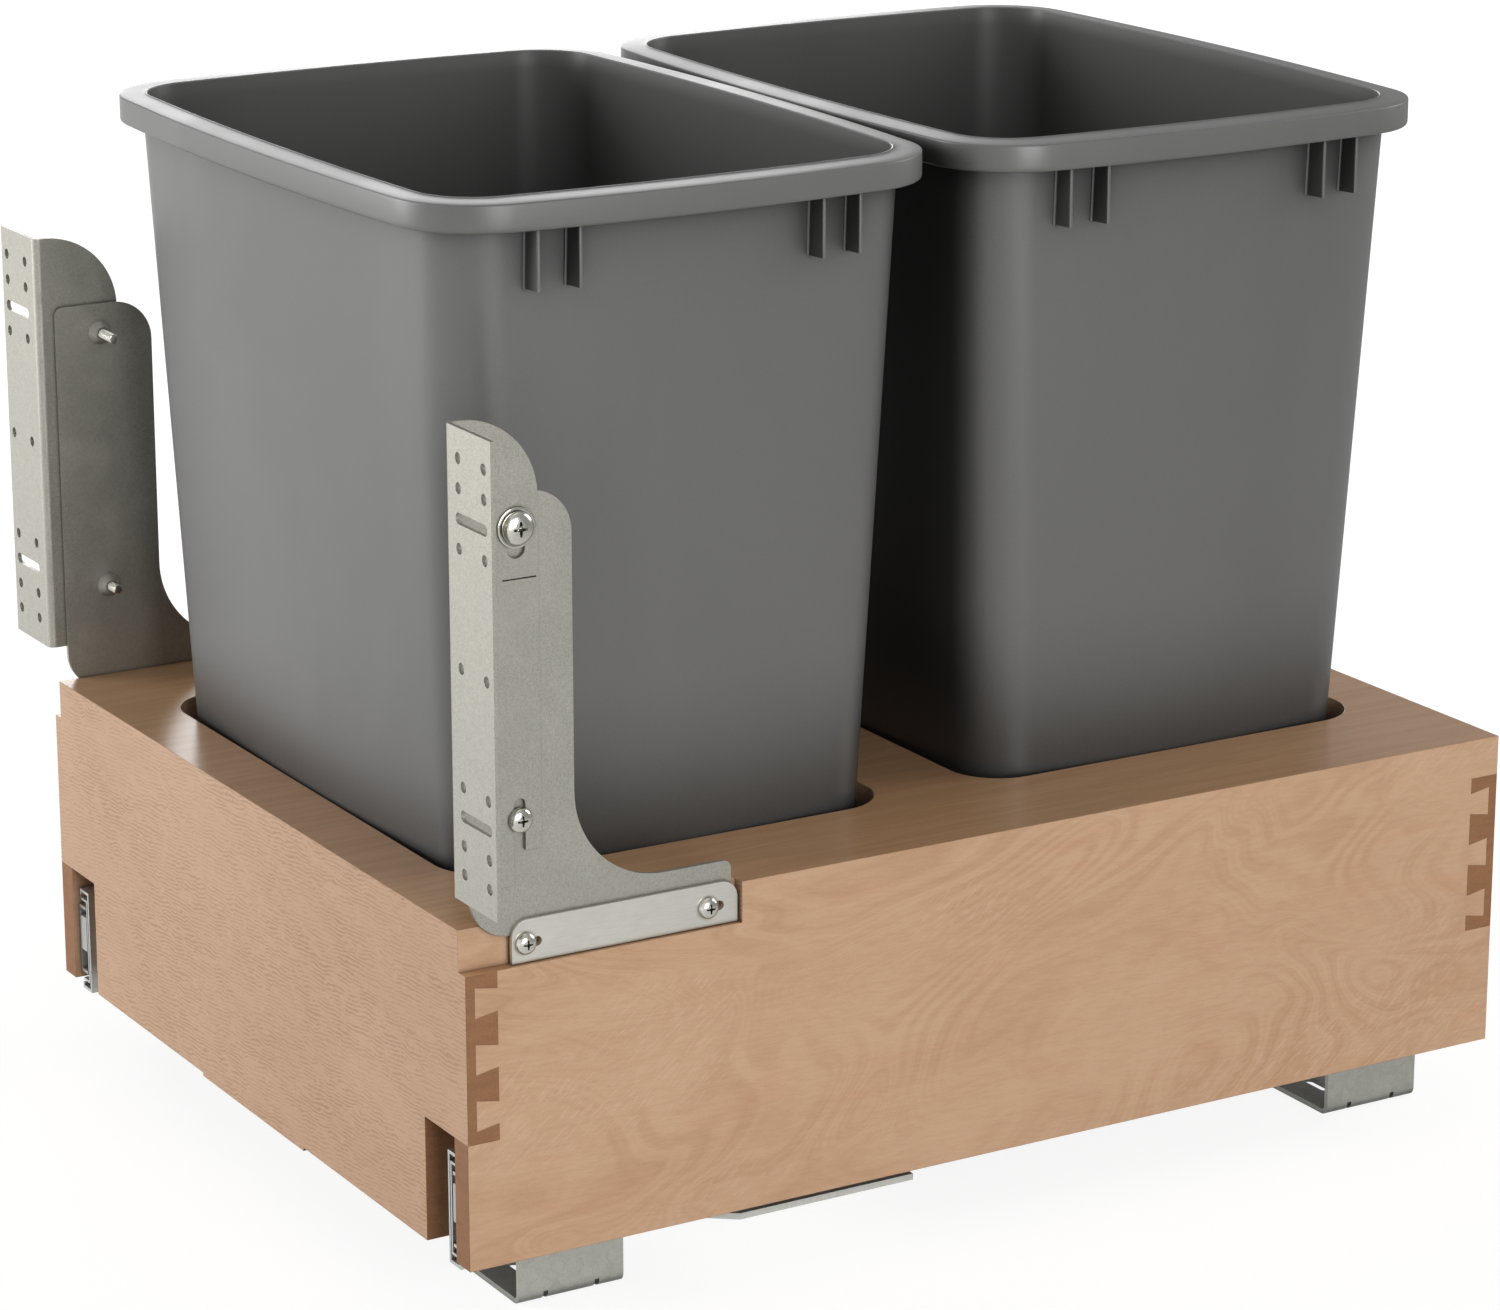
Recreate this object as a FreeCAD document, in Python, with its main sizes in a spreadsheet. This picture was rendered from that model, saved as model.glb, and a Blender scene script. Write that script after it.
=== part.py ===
"""Pull-out waste unit for the base cabinet of a kitchen: two bins in a wooden tray on side slides.

Frame: +X to the right seen from the front, +Y towards the back of the cabinet, +Z up, millimetres.
The origin lies on the cabinet floor, in the middle of the pattern of floor screws.
Sizes named in the sheet "Sizes" can be set one by one; "Places" holds what follows from them.
"""
import FreeCAD
import Part
import math
import os
import re
import Sketcher
from FreeCAD import Placement, Rotation, Vector

SIZES = {
    # wooden tray
    "tray_width": 444.5, "tray_depth": 558.8, "board_height": 136.0, "panel_thick": 19.0,
    "side_thick": 12.7, "front_thick": 15.5, "floor_gap": 34.0,
    # dovetails: lap of the front board past the tails, heights of a tail at its end and at its root
    "tail_lap": 4.5, "tail_end": 14.0, "tail_root": 10.0,
    # cut-outs of the top panel: rails around them, web between them, corner radius
    "panel_rail": 31.2, "panel_web": 46.6, "panel_side": 63.0, "cutout_corner": 26.0,
    # recess at the front corners of the top panel, for the door brackets
    "recess_depth": 6.5, "recess_length": 137.0,
    # slat under the bins, and the blocks glued under the corners of the top panel
    "slat_width": 111.0, "slat_thick": 6.4, "slat_drop": 1.7, "block_side": 20.0, "block_height": 60.0,
    # side slides
    "slide_length": 550.0, "slide_height": 53.0, "slide_thick": 12.7, "slide_drop": 5.0,
    "slide_setback": 3.0, "steel": 1.5, "steel_thin": 1.2, "spine_gap": 0.65, "lip_gap": 1.15,
    "tip_gap": 1.5, "lip_back": 2.0, "notch_room": 13.0, "notch_clear": 10.5, "slide_screw_end": 66.0,
    # balls between the members, in cages
    "ball_radius": 1.45, "ball_play": 0.05, "ball_pitch": 30.0, "cage_length": 240.0,
    "cage_thick": 0.8, "cage_width": 5.2, "cage_outer_in": 4.45, "cage_inner_out": 6.0,
    # release latch at the front end of each slide
    "latch_length": 30.0, "latch_height": 18.2, "latch_rise": 3.0, "latch_gap": 0.85,
    # floor brackets
    "bracket_front": 37.0, "bracket_tail": 17.0, "bracket_length": 53.0, "bracket_steel": 2.5,
    "bracket_height": 75.0, "bracket_foot": 62.0, "bend_radius": 4.5, "floor_slot_side": 18.0,
    "rivet_side": 14.8,
    "floor_slot_in": 32.0, "floor_slot_length": 20.0, "floor_slot_radius": 3.2,
    "bend_slot_side": 13.5, "bend_slot_width": 2.3, "bend_slot_high": 4.6,
    # cross brace between the slides
    "brace_reach": 18.2, "brace_start": 120.0, "brace_end": 232.0, "brace_thick": 3.0,
    "brace_chamfer_x": 15.0, "brace_chamfer_y": 20.0, "brace_tab_high": 30.0,
    "brace_tab_inset": 22.0, "brace_tab_length": 82.0, "brace_rivet_in": 12.0,
    # fasteners
    "rivet_radius": 2.0, "rivet_head": 4.0, "rivet_head_high": 1.6, "screw_radius": 1.9,
    "screw_head": 4.0, "screw_head_high": 1.5, "screw_bite": 10.0, "screw_play": 0.05,
    "drive_width": 1.1, "drive_deep": 1.2,
    # base brackets of the door, standing in the recess
    "plate_thick": 2.0, "base_front": 5.5, "base_depth": 50.8, "base_high": 189.0,
    "foot_high": 9.5, "foot_end": 3.0, "base_low_round": 19.0, "base_top_round": 20.0,
    "base_sweep": 44.0, "base_heel": 6.0, "small_round": 4.0, "foot_clear": 0.4, "foot_ahead": 1.0,
    # clamp plates over the feet of the base brackets
    "clamp_thick": 2.1, "clamp_front": 24.0, "clamp_height": 19.3, "clamp_clear": 1.0,
    "clamp_round": 8.0, "clamp_screw_in": 6.5, "clamp_screw_end": 15.0, "clamp_slot_ahead": 3.0,
    "clamp_slot_behind": 8.0, "clamp_slot_radius": 2.2, "clamp_screw_radius": 2.0,
    "clamp_screw_head": 4.6, "clamp_screw_high": 3.0, "clamp_screw_bite": 12.0, "clamp_screw_drop": 1.0,
    # door plates
    "flange_width": 41.3, "flange_ahead": 3.2, "flange_low": 17.0, "flange_height": 206.6,
    "ear_depth": 42.5, "ear_round": 37.0, "ear_step": 15.0, "hole_in": 12.3, "hole_pitch": 22.7,
    "hole_radius": 2.5, "hole_near": 51.8, "hole_middle": 77.6, "hole_far": 90.4,
    "door_slot_at": 64.7, "door_slot_length": 28.0, "slit_height": 0.6, "slit_at": 134.9,
    "slit_length": 16.0, "slit_ahead": 6.7, "door_bend": 3.4,
    # two screws and a washer that hold each door plate to its base bracket
    "hanger_back": 28.7, "hanger_low": 46.0, "hanger_pitch": 128.6, "hanger_radius": 2.5,
    "top_head": 6.5, "low_head": 5.5, "hanger_head_high": 3.4, "washer_radius": 9.0,
    "washer_thick": 1.2, "top_bite": 17.7, "low_bite": 11.0, "boss_radius": 6.0, "boss_lip": 3.6,
    "boss_deep": 4.0,
    "lower_slot_play": 0.3, "lower_slot_above": 7.0, "upper_slot_radius": 4.3,
    "upper_slot_below": 13.6, "upper_slot_above": 8.0,
    # bins
    "bin_height": 454.0, "bin_draft": 0.0413, "bin_wall": 2.5, "bin_bow": 5.6, "bin_corner": 31.0,
    "bin_gap": 2.3, "bin_play": 1.25, "bin_foot_round": 6.0, "rim_reach": 13.2, "rim_height": 13.6,
    "rim_wall": 2.0, "rim_bow": 8.0, "rim_corner": 42.0, "rib_thick": 1.8, "rib_height": 26.8,
    "rib_slope": 0.5, "rib_inner": 60.5, "rib_outer": 80.0, "rib_inset": 0.5, "rim_round": 1.6,
}

PLACES = {
    "half_width": "tray_width / 2",
    "bracket_rear": "slide_setback + slide_length - bracket_tail - bracket_length",
    "front": "-(bracket_front + bracket_rear + bracket_length) / 2",
    "back": "front + tray_depth",
    "base": "floor_gap",
    "board_top": "base + board_height",
    "panel_top": "board_top + panel_thick",
    "side_in": "half_width - side_thick",
    "slide_in": "side_in - slide_thick",
    "slide_low": "base - slide_drop",
    "slide_mid": "slide_low + slide_height / 2",
    "slide_front": "front + slide_setback",
    "notch_in": "slide_in - bracket_steel - notch_room",
    "notch_top": "slide_low + slide_height + notch_clear",
    "tail_pitch": "(board_top - notch_top) / 3",
    "outer_half": "slide_height / 2",
    "race": "2 * (ball_radius + ball_play)",
    "middle_half": "outer_half - steel - race",
    "inner_half": "middle_half - steel_thin - race",
    "middle_in": "slide_in + steel + spine_gap",
    "recess_x": "half_width - recess_depth",
    "base_out": "recess_x + plate_thick",
    "door_out": "base_out + plate_thick",
    "clamp_out": "base_out + clamp_thick",
    "clamp_start": "front + clamp_front",
    "clamp_end": "front + recess_length - clamp_clear",
    "clamp_low": "board_top + foot_clear",
    "clamp_screw_z": "clamp_low + clamp_height / 2 - clamp_screw_drop",
    "clamp_screw_near": "clamp_start + clamp_screw_in",
    "clamp_screw_far": "clamp_end - clamp_screw_end",
    "base_start": "front + base_front",
    "base_end": "base_start + base_depth",
    "flange_y": "front - flange_ahead",
    "flange_z": "panel_top + flange_low",
    "flange_mid": "flange_z + flange_height / 2",
    "hanger_y": "front + hanger_back",
    "hanger_z": "panel_top + hanger_low",
    "hanger_top": "hanger_z + hanger_pitch",
    "lower_slot_radius": "hanger_radius + lower_slot_play",
    "cutout_x": "half_width - panel_side",
    "cutout_y": "(tray_depth - 2 * panel_rail - panel_web) / 4",
    "bin_pitch": "2 * cutout_y + panel_web",
    "bin_front_y": "front + panel_rail + cutout_y",
    "bin_rear_y": "bin_front_y + bin_pitch",
    "bin_base": "base - slat_drop + slat_thick",
    "bin_low_x": "cutout_x - bin_play - bin_draft * (panel_top - bin_base)",
    "bin_low_y": "cutout_y - bin_play - bin_draft * (panel_top - bin_base)",
    "rim_x": "bin_low_x + bin_draft * bin_height + rim_reach",
    "rim_y": "(bin_pitch - bin_gap) / 2",
}

PLANE_ROLES = {"XY": "XY_Plane", "XZ": "XZ_Plane", "YZ": "YZ_Plane"}
# turns a primitive that grows along +Z into one that grows along the named axis
TURNS = {
    "X": Rotation(Vector(0, 1, 0), 90),
    "Y": Rotation(Vector(1, 0, 0), -90),
    "Z": Rotation(),
}
SAME = 0.001
# how far a cutting tool runs past the face it opens
PAST = 1

doc = FreeCAD.newDocument("waste_unit")
nodes = []


# ---------------------------------------------------------------- sheets

def bound(text):
    """Write an expression with each name pointing at its cell."""
    def cell(match):
        word = match.group()
        if word in SIZES:
            return "Sizes." + word
        return "Places." + word if word in PLACES else word
    return re.sub(r"[a-z_]+", cell, str(text))


def fill_sheet(name, rows, formula):
    """Make a sheet with one aliased cell for each row."""
    sheet = doc.addObject("Spreadsheet::Sheet", name)
    for line, (alias, content) in enumerate(rows.items(), start=1):
        sheet.set("A%d" % line, alias)
        sheet.set("B%d" % line, "=" + bound(content) if formula else str(content))
        sheet.setAlias("B%d" % line, alias)
    doc.recompute()
    return sheet


fill_sheet("Sizes", SIZES, False)
fill_sheet("Places", PLACES, True)
desk = doc.addObject("Spreadsheet::Sheet", "Desk")


def number(text):
    """Work out an expression of the sheets."""
    desk.set("A1", "=" + bound(text))
    desk.recompute()
    return float(desk.get("A1"))


def bind(item, **values):
    """Bind properties to expressions; a double underscore stands for a dot."""
    for name, text in values.items():
        item.setExpression(name.replace("__", "."), bound(text))
    return item


def kept(item, label):
    """Give an item its node name and list it."""
    item.Label = label
    nodes.append(item)
    return item


# ---------------------------------------------------------------- primitives

def box(label, corner, size):
    """Block from its lowest corner and its three sizes."""
    item = doc.addObject("Part::Box", label)
    bind(item, Length=size[0], Width=size[1], Height=size[2])
    return bind(item, Placement__Base__x=corner[0], Placement__Base__y=corner[1],
                Placement__Base__z=corner[2])


def rod(label, axis, start, radius, length):
    """Round bar that grows from its start along an axis."""
    item = doc.addObject("Part::Cylinder", label)
    item.Placement = Placement(Vector(), TURNS[axis])
    bind(item, Radius=radius, Height=length)
    return bind(item, Placement__Base__x=start[0], Placement__Base__y=start[1],
                Placement__Base__z=start[2])


def cone(label, axis, start, radius, end_radius, length):
    """Tapered bar that grows from its start along an axis."""
    item = doc.addObject("Part::Cone", label)
    item.Placement = Placement(Vector(), TURNS[axis])
    bind(item, Radius1=radius, Radius2=end_radius, Height=length)
    return bind(item, Placement__Base__x=start[0], Placement__Base__y=start[1],
                Placement__Base__z=start[2])


def ball(label, centre, radius):
    """Steel ball."""
    item = doc.addObject("Part::Sphere", label)
    bind(item, Radius=radius)
    return bind(item, Placement__Base__x=centre[0], Placement__Base__y=centre[1],
                Placement__Base__z=centre[2])


def cap(label, axis, start, radius, height):
    """Part of a ball that stands on a flat round face, with the given radius and height."""
    item = doc.addObject("Part::Sphere", label)
    item.Placement = Placement(Vector(), TURNS[axis])
    size = "(((%s) ^ 2 + (%s) ^ 2) / 2 / (%s))" % (radius, height, height)
    sunk = "(%s - (%s))" % (size, height)
    bind(item, Radius=size, Angle1="asin(%s / %s)" % (sunk, size))
    place = ["%s - %s" % (value, sunk) if letter == axis else value for letter, value in zip("XYZ", start)]
    return bind(item, Placement__Base__x=place[0], Placement__Base__y=place[1],
                Placement__Base__z=place[2])


def fuse(label, items):
    """One solid out of several that meet."""
    item = doc.addObject("Part::MultiFuse", label)
    item.Shapes = items
    return item


def group(label, items):
    """Equal pieces that stay apart and share a node."""
    item = doc.addObject("Part::Compound", label)
    item.Links = items
    return item


def cut(label, base, tools):
    """Take the tools out of the base."""
    item = doc.addObject("Part::Cut", label)
    item.Base = base
    item.Tool = tools[0] if len(tools) == 1 else fuse(label + "_tools", tools)
    return item


def mirrored(label, source):
    """The piece of the left side, from that of the right."""
    item = doc.addObject("Part::Mirroring", label)
    item.Source = source
    item.Normal = Vector(1, 0, 0)
    return item


def both_sides(stem, source):
    """Keep a piece of the right side and its mirror image of the left."""
    kept(source, stem + "_right")
    kept(mirrored(stem + "_left", source), stem + "_left")


def slot(label, axis, along, start, radius, length, depth):
    """Tool for a slot: it grows from its start along axis, and runs length in all along another axis."""
    reach = "(%s) / 2 - (%s)" % (length, radius)
    ends = []
    for name, sign in (("near", "-"), ("far", "+")):
        place = list(start)
        index = "XYZ".index(along)
        place[index] = "%s %s (%s)" % (start[index], sign, reach)
        ends.append(rod("%s_%s" % (label, name), axis, place, radius, depth))
    size, corner = [], []
    for index, letter in enumerate("XYZ"):
        if letter == axis:
            corner.append(start[index])
            size.append(depth)
        else:
            half = reach if letter == along else radius
            corner.append("%s - (%s)" % (start[index], half))
            size.append("2 * (%s)" % half)
    return fuse(label, ends + [box(label + "_middle", corner, size)])


def cross_drive(label, face, y, z):
    """Tool for the cross in the head of a screw that lies along X: face is where the head ends."""
    arm = "(drive_width * 2.6)"
    start = "%s - drive_deep" % face
    upright = box(label + "_upright", (start, y + " - drive_width / 2", z + " - " + arm),
                  ("drive_deep + %d" % PAST, "drive_width", "2 * " + arm))
    level = box(label + "_level", (start, y + " - " + arm, z + " - drive_width / 2"),
                ("drive_deep + %d" % PAST, "2 * " + arm, "drive_width"))
    return [upright, level]


# ---------------------------------------------------------------- padded outlines

def outline(body, name, plane, corners, start):
    """Closed sketch with a bound place for each corner, on a plane moved to start."""
    sketch = body.newObject("Sketcher::SketchObject", name)
    support = next(item for item in body.Origin.OriginFeatures if item.Role == PLANE_ROLES[plane])
    sketch.AttachmentSupport = [(support, "")]
    sketch.MapMode = "FlatFace"
    sign = "-" if plane == "XZ" else ""
    sketch.setExpression("AttachmentOffset.Base.z", bound("%s(%s)" % (sign, start)))
    points = [Vector(number(corner[0]), number(corner[1]), 0) for corner in corners]
    count = len(points)
    for index in range(count):
        sketch.addGeometry(Part.LineSegment(points[index], points[(index + 1) % count]))
    for index in range(count):
        sketch.addConstraint(Sketcher.Constraint("Coincident", index, 2, (index + 1) % count, 1))
    for index, corner in enumerate(corners):
        for kind, value, text in (("DistanceX", points[index].x, corner[0]),
                                  ("DistanceY", points[index].y, corner[1])):
            datum = sketch.addConstraint(Sketcher.Constraint(kind, -1, 1, index, 1, value))
            sketch.setExpression("Constraints[%d]" % datum, bound(text))
    return sketch


def corner_edges(shape, plane, spots):
    """Names of the straight edges that stand square on the plane at the given spots."""
    axes = ["xyz".index(letter.lower()) for letter in plane]
    names = []
    for place, edge in enumerate(shape.Edges, start=1):
        if len(edge.Vertexes) != 2:
            continue
        ends = [vertex.Point for vertex in edge.Vertexes]
        for spot in spots:
            if all(abs(end[axis] - value) < SAME for end in ends for axis, value in zip(axes, spot)):
                names.append("Edge%d" % place)
    return names


def slab(label, plane, corners, start, thick):
    """Plate with an outline: each corner is (u, v) or (u, v, radius of its rounding)."""
    body = doc.addObject("PartDesign::Body", label)
    sketch = outline(body, label + "_outline", plane, corners, start)
    pad = body.newObject("PartDesign::Pad", label + "_pad")
    pad.Profile = sketch
    pad.Reversed = plane == "XZ"
    bind(pad, Length=thick)
    doc.recompute()
    rounds = {}
    for corner in corners:
        if len(corner) == 3:
            rounds.setdefault(corner[2], []).append((number(corner[0]), number(corner[1])))
    last = pad
    for step, (radius, spots) in enumerate(rounds.items(), start=1):
        rounding = body.newObject("PartDesign::Fillet", "%s_round%d" % (label, step))
        rounding.Base = (last, corner_edges(last.Shape, plane, spots))
        bind(rounding, Radius=radius)
        doc.recompute()
        last = rounding
    body.Tip = last
    return body


# ---------------------------------------------------------------- wooden tray

def tails(end, shoulder, rising):
    """Corners of the three dovetails on one end of a side board, in order along the end."""
    points = []
    for step in range(3) if rising else range(2, -1, -1):
        middle = "notch_top + %s * tail_pitch" % (step + 0.5)
        signs = ("-", "+") if rising else ("+", "-")
        points.append((shoulder, "%s %s tail_root / 2" % (middle, signs[0])))
        points.append((end, "%s %s tail_end / 2" % (middle, signs[0])))
        points.append((end, "%s %s tail_end / 2" % (middle, signs[1])))
        points.append((shoulder, "%s %s tail_root / 2" % (middle, signs[1])))
    return points


def side_board():
    """Right side board, with tails at both ends and holes for the screws of the slide."""
    front_shoulder = "front + front_thick"
    back_shoulder = "back - front_thick"
    corners = [("front", "base"), ("front", "notch_top"), (front_shoulder, "notch_top")]
    corners += tails("front + tail_lap", front_shoulder, True)
    corners += [(front_shoulder, "board_top"), (back_shoulder, "board_top")]
    corners += tails("back - tail_lap", back_shoulder, False)
    corners += [(back_shoulder, "notch_top"), ("back", "notch_top"), ("back", "base")]
    board = slab("side_board_blank", "YZ", corners, "side_in", "side_thick")
    holes = [rod("side_hole_%d" % index, "X", ("side_in - %d" % PAST, y, "slide_mid"),
                 "screw_radius + screw_play", "screw_bite + screw_play + %d" % PAST)
             for index, y in enumerate(slide_screw_rows())]
    return cut("side_board", board, holes)


def end_board(label, start, fitted):
    """Front or back board: notched at the bottom corners for the slides, cut to what fits into it."""
    corners = [("-notch_in", "base"), ("notch_in", "base"), ("notch_in", "notch_top"),
               ("half_width", "notch_top"), ("half_width", "board_top"),
               ("-half_width", "board_top"), ("-half_width", "notch_top"), ("-notch_in", "notch_top")]
    blank = slab(label + "_blank", "XZ", corners, start, "front_thick")
    return cut(label, blank, fitted)


def top_panel():
    """Top panel with two rounded cut-outs, a recess at each front corner and pilot holes."""
    recess_end = "front + recess_length"
    corners = [("-recess_x", "front"), ("recess_x", "front"), ("recess_x", recess_end),
               ("half_width", recess_end), ("half_width", "back"), ("-half_width", "back"),
               ("-half_width", recess_end), ("-recess_x", recess_end)]
    panel = slab("top_panel_blank", "XY", corners, "board_top", "panel_thick")
    tools = []
    for name, centre in (("front", "bin_front_y"), ("rear", "bin_rear_y")):
        hole = [("-cutout_x", centre + " - cutout_y", "cutout_corner"),
                ("cutout_x", centre + " - cutout_y", "cutout_corner"),
                ("cutout_x", centre + " + cutout_y", "cutout_corner"),
                ("-cutout_x", centre + " + cutout_y", "cutout_corner")]
        tools.append(slab("cutout_" + name, "XY", hole, "board_top - %d" % PAST,
                          "panel_thick + %d" % (2 * PAST)))
    depth = "clamp_screw_bite + screw_play"
    for name, y in (("near", "clamp_screw_near"), ("far", "clamp_screw_far")):
        for side, x in (("right", "recess_x - (%s)" % depth), ("left", "-recess_x - %d" % PAST)):
            tools.append(rod("pilot_%s_%s" % (name, side), "X", (x, y, "clamp_screw_z"),
                             "clamp_screw_radius + screw_play", "%s + %d" % (depth, PAST)))
    return cut("top_panel", panel, tools)


def corner_blocks():
    """Four blocks glued into the corners under the top panel."""
    blocks = []
    for side, x in (("right", "side_in - block_side"), ("left", "-side_in")):
        for end, y in (("front", "front + front_thick"), ("back", "back - front_thick - block_side")):
            blocks.append(box("block_%s_%s" % (end, side), (x, y, "board_top - block_height"),
                              ("block_side", "block_side", "block_height")))
    return group("corner_blocks", blocks)


def build_tray():
    """The wooden tray."""
    right = side_board()
    left = mirrored("side_board_left", right)
    slat = box("bottom_slat", ("-slat_width / 2", "front", "base - slat_drop"),
               ("slat_width", "tray_depth", "slat_thick"))
    kept(right, "side_board_right")
    kept(left, "side_board_left")
    kept(slat, "bottom_slat")
    kept(end_board("front_board", "front", [right, left, slat]), "front_board")
    kept(end_board("back_board", "back - front_thick", [right, left, slat]), "back_board")
    kept(top_panel(), "top_panel")
    kept(corner_blocks(), "corner_blocks")


# ---------------------------------------------------------------- slides

def slide_screw_rows():
    """Where along the slide the screws of its inner member sit."""
    return ["slide_front + slide_screw_end", "slide_front + slide_length / 2",
            "slide_front + slide_length - slide_screw_end"]


def rivet_rows():
    """Where along the slide its outer member is riveted to the floor brackets."""
    rows = []
    for start in ("bracket_front", "bracket_rear"):
        rows.append("front + %s + rivet_side" % start)
        rows.append("front + %s + bracket_length - rivet_side" % start)
    return rows


def brace_rows():
    """Where along the slide its outer member is riveted to the cross brace."""
    tab = "front + brace_start + brace_tab_inset"
    return [tab + " + brace_rivet_in", tab + " + brace_tab_length - brace_rivet_in"]


def channel(label, spine, half, depth, wall, opens_out):
    """Plain C channel along the slide, with the back of its spine at spine, open outwards or inwards."""
    sign = "+" if opens_out else "-"
    tip, inside = "%s %s (%s)" % (spine, sign, depth), "%s %s %s" % (spine, sign, wall)
    low, high = "slide_mid - %s" % half, "slide_mid + %s" % half
    corners = [(spine, low), (tip, low), (tip, "%s + %s" % (low, wall)), (inside, "%s + %s" % (low, wall)),
               (inside, "%s - %s" % (high, wall)), (tip, "%s - %s" % (high, wall)), (tip, high),
               (spine, high)]
    return slab(label, "XZ", corners, "slide_front", "slide_length")


def outer_member():
    """Outer member: its lips curl in at their ends and keep the balls in; holes for the rivets."""
    tip = "slide_in + slide_thick - lip_back"
    low, high = "slide_low", "slide_low + slide_height"
    curl = "%s - steel" % tip
    corners = [("slide_in", low), (tip, low), (tip, low + " + 2 * steel"), (curl, low + " + 2 * steel"),
               (curl, low + " + steel"), ("slide_in + steel", low + " + steel"),
               ("slide_in + steel", high + " - steel"), (curl, high + " - steel"),
               (curl, high + " - 2 * steel"), (tip, high + " - 2 * steel"), (tip, high),
               ("slide_in", high)]
    member = slab("slide_outer_blank", "XZ", corners, "slide_front", "slide_length")
    holes = [rod("rivet_hole_%d" % index, "X", ("slide_in - %d" % PAST, y, "slide_mid"),
                 "rivet_radius + screw_play", "steel + %d" % (2 * PAST))
             for index, y in enumerate(rivet_rows() + brace_rows())]
    return cut("slide_outer", member, holes)


def inner_member():
    """Inner member on the side board, open towards the middle one, with holes for its screws."""
    depth = "side_in - middle_in - steel_thin - lip_gap"
    member = channel("slide_inner_blank", "side_in", "inner_half", depth, "steel", False)
    holes = [rod("inner_hole_%d" % index, "X", ("side_in - steel - %d" % PAST, y, "slide_mid"),
                 "screw_radius + screw_play", "steel + %d" % (2 * PAST))
             for index, y in enumerate(slide_screw_rows())]
    return cut("slide_inner", member, holes)


def ball_cage(stem, level, centre_x):
    """Two strips with a row of balls each, above and below the middle of the slide."""
    count = int(number("cage_length") // number("ball_pitch"))
    start = "slide_front + (slide_length - cage_length) / 2"
    margin = "(cage_length - %d * ball_pitch) / 2" % (count - 1)
    pieces = []
    for name, sign in (("top", "+"), ("bottom", "-")):
        height = "slide_mid %s (%s)" % (sign, level)
        balls, holes = [], []
        for index in range(count):
            y = "%s + %s + %d * ball_pitch" % (start, margin, index)
            balls.append(ball("%s_%s_ball_%d" % (stem, name, index), (centre_x, y, height), "ball_radius"))
            holes.append(rod("%s_%s_seat_%d" % (stem, name, index), "Z",
                             (centre_x, y, height + " - cage_thick"), "ball_radius + ball_play",
                             "2 * cage_thick"))
        strip = box("%s_%s_strip" % (stem, name),
                    (centre_x + " - cage_width / 2", start, height + " - cage_thick / 2"),
                    ("cage_width", "cage_length", "cage_thick"))
        pieces += [cut("%s_%s_cage" % (stem, name), strip, holes)] + balls
    return group(stem, pieces)


def latches():
    """Release latch in the front end of each inner member."""
    depth = "side_in - steel - middle_in - steel_thin - latch_gap"
    corner = ("side_in - steel - (%s)" % depth, "slide_front",
              "slide_mid + latch_rise - latch_height / 2")
    right = box("latch_right", corner, (depth, "latch_length", "latch_height"))
    return group("slide_latches", [right, mirrored("latch_left", right)])


def side_screw(label, y):
    """Screw from inside the inner member into the side board."""
    start = "side_in - steel - screw_head_high"
    head = rod(label + "_head", "X", (start, y, "slide_mid"), "screw_head", "screw_head_high")
    shank = rod(label + "_shank", "X", (start, y, "slide_mid"), "screw_radius",
                "screw_head_high + steel + screw_bite")
    return fuse(label, [head, shank])


def rivet(label, y, thick):
    """Rivet with its head on the inside of a bracket of the given thickness."""
    start = "slide_in - %s - rivet_head_high" % thick
    head = rod(label + "_head", "X", (start, y, "slide_mid"), "rivet_head", "rivet_head_high")
    shank = rod(label + "_shank", "X", (start, y, "slide_mid"), "rivet_radius",
                "rivet_head_high + %s + steel" % thick)
    return fuse(label, [head, shank])


def pairs(stem, right_pieces):
    """Equal pieces on the right and their mirror images, in one node."""
    left = [mirrored("%s_left_%d" % (stem, index), piece) for index, piece in enumerate(right_pieces)]
    return group(stem, right_pieces + left)


def build_slides():
    """Three-part ball-bearing slides on both sides, with their latches and fasteners."""
    both_sides("slide_outer", outer_member())
    depth = "side_in - steel - tip_gap - middle_in"
    middle = channel("slide_middle", "middle_in", "middle_half", depth, "steel_thin", True)
    both_sides("slide_middle", middle)
    both_sides("slide_inner", inner_member())
    outer = ball_cage("outer_cage", "middle_half + race / 2", "slide_in + steel + cage_outer_in")
    inner = ball_cage("inner_cage", "inner_half + race / 2", "side_in - cage_inner_out")
    both_sides("outer_cage", outer)
    both_sides("inner_cage", inner)
    kept(latches(), "slide_latches")
    screws = [side_screw("side_screw_%d" % index, y) for index, y in enumerate(slide_screw_rows())]
    kept(pairs("slide_screws", screws), "slide_screws")
    bracket = [rivet("bracket_rivet_%d" % index, y, "bracket_steel") for index, y in enumerate(rivet_rows())]
    kept(pairs("bracket_rivets", bracket), "bracket_rivets")
    brace = [rivet("brace_rivet_%d" % index, y, "brace_thick") for index, y in enumerate(brace_rows())]
    kept(pairs("brace_rivets", brace), "brace_rivets")


# ---------------------------------------------------------------- floor brackets and brace

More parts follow.
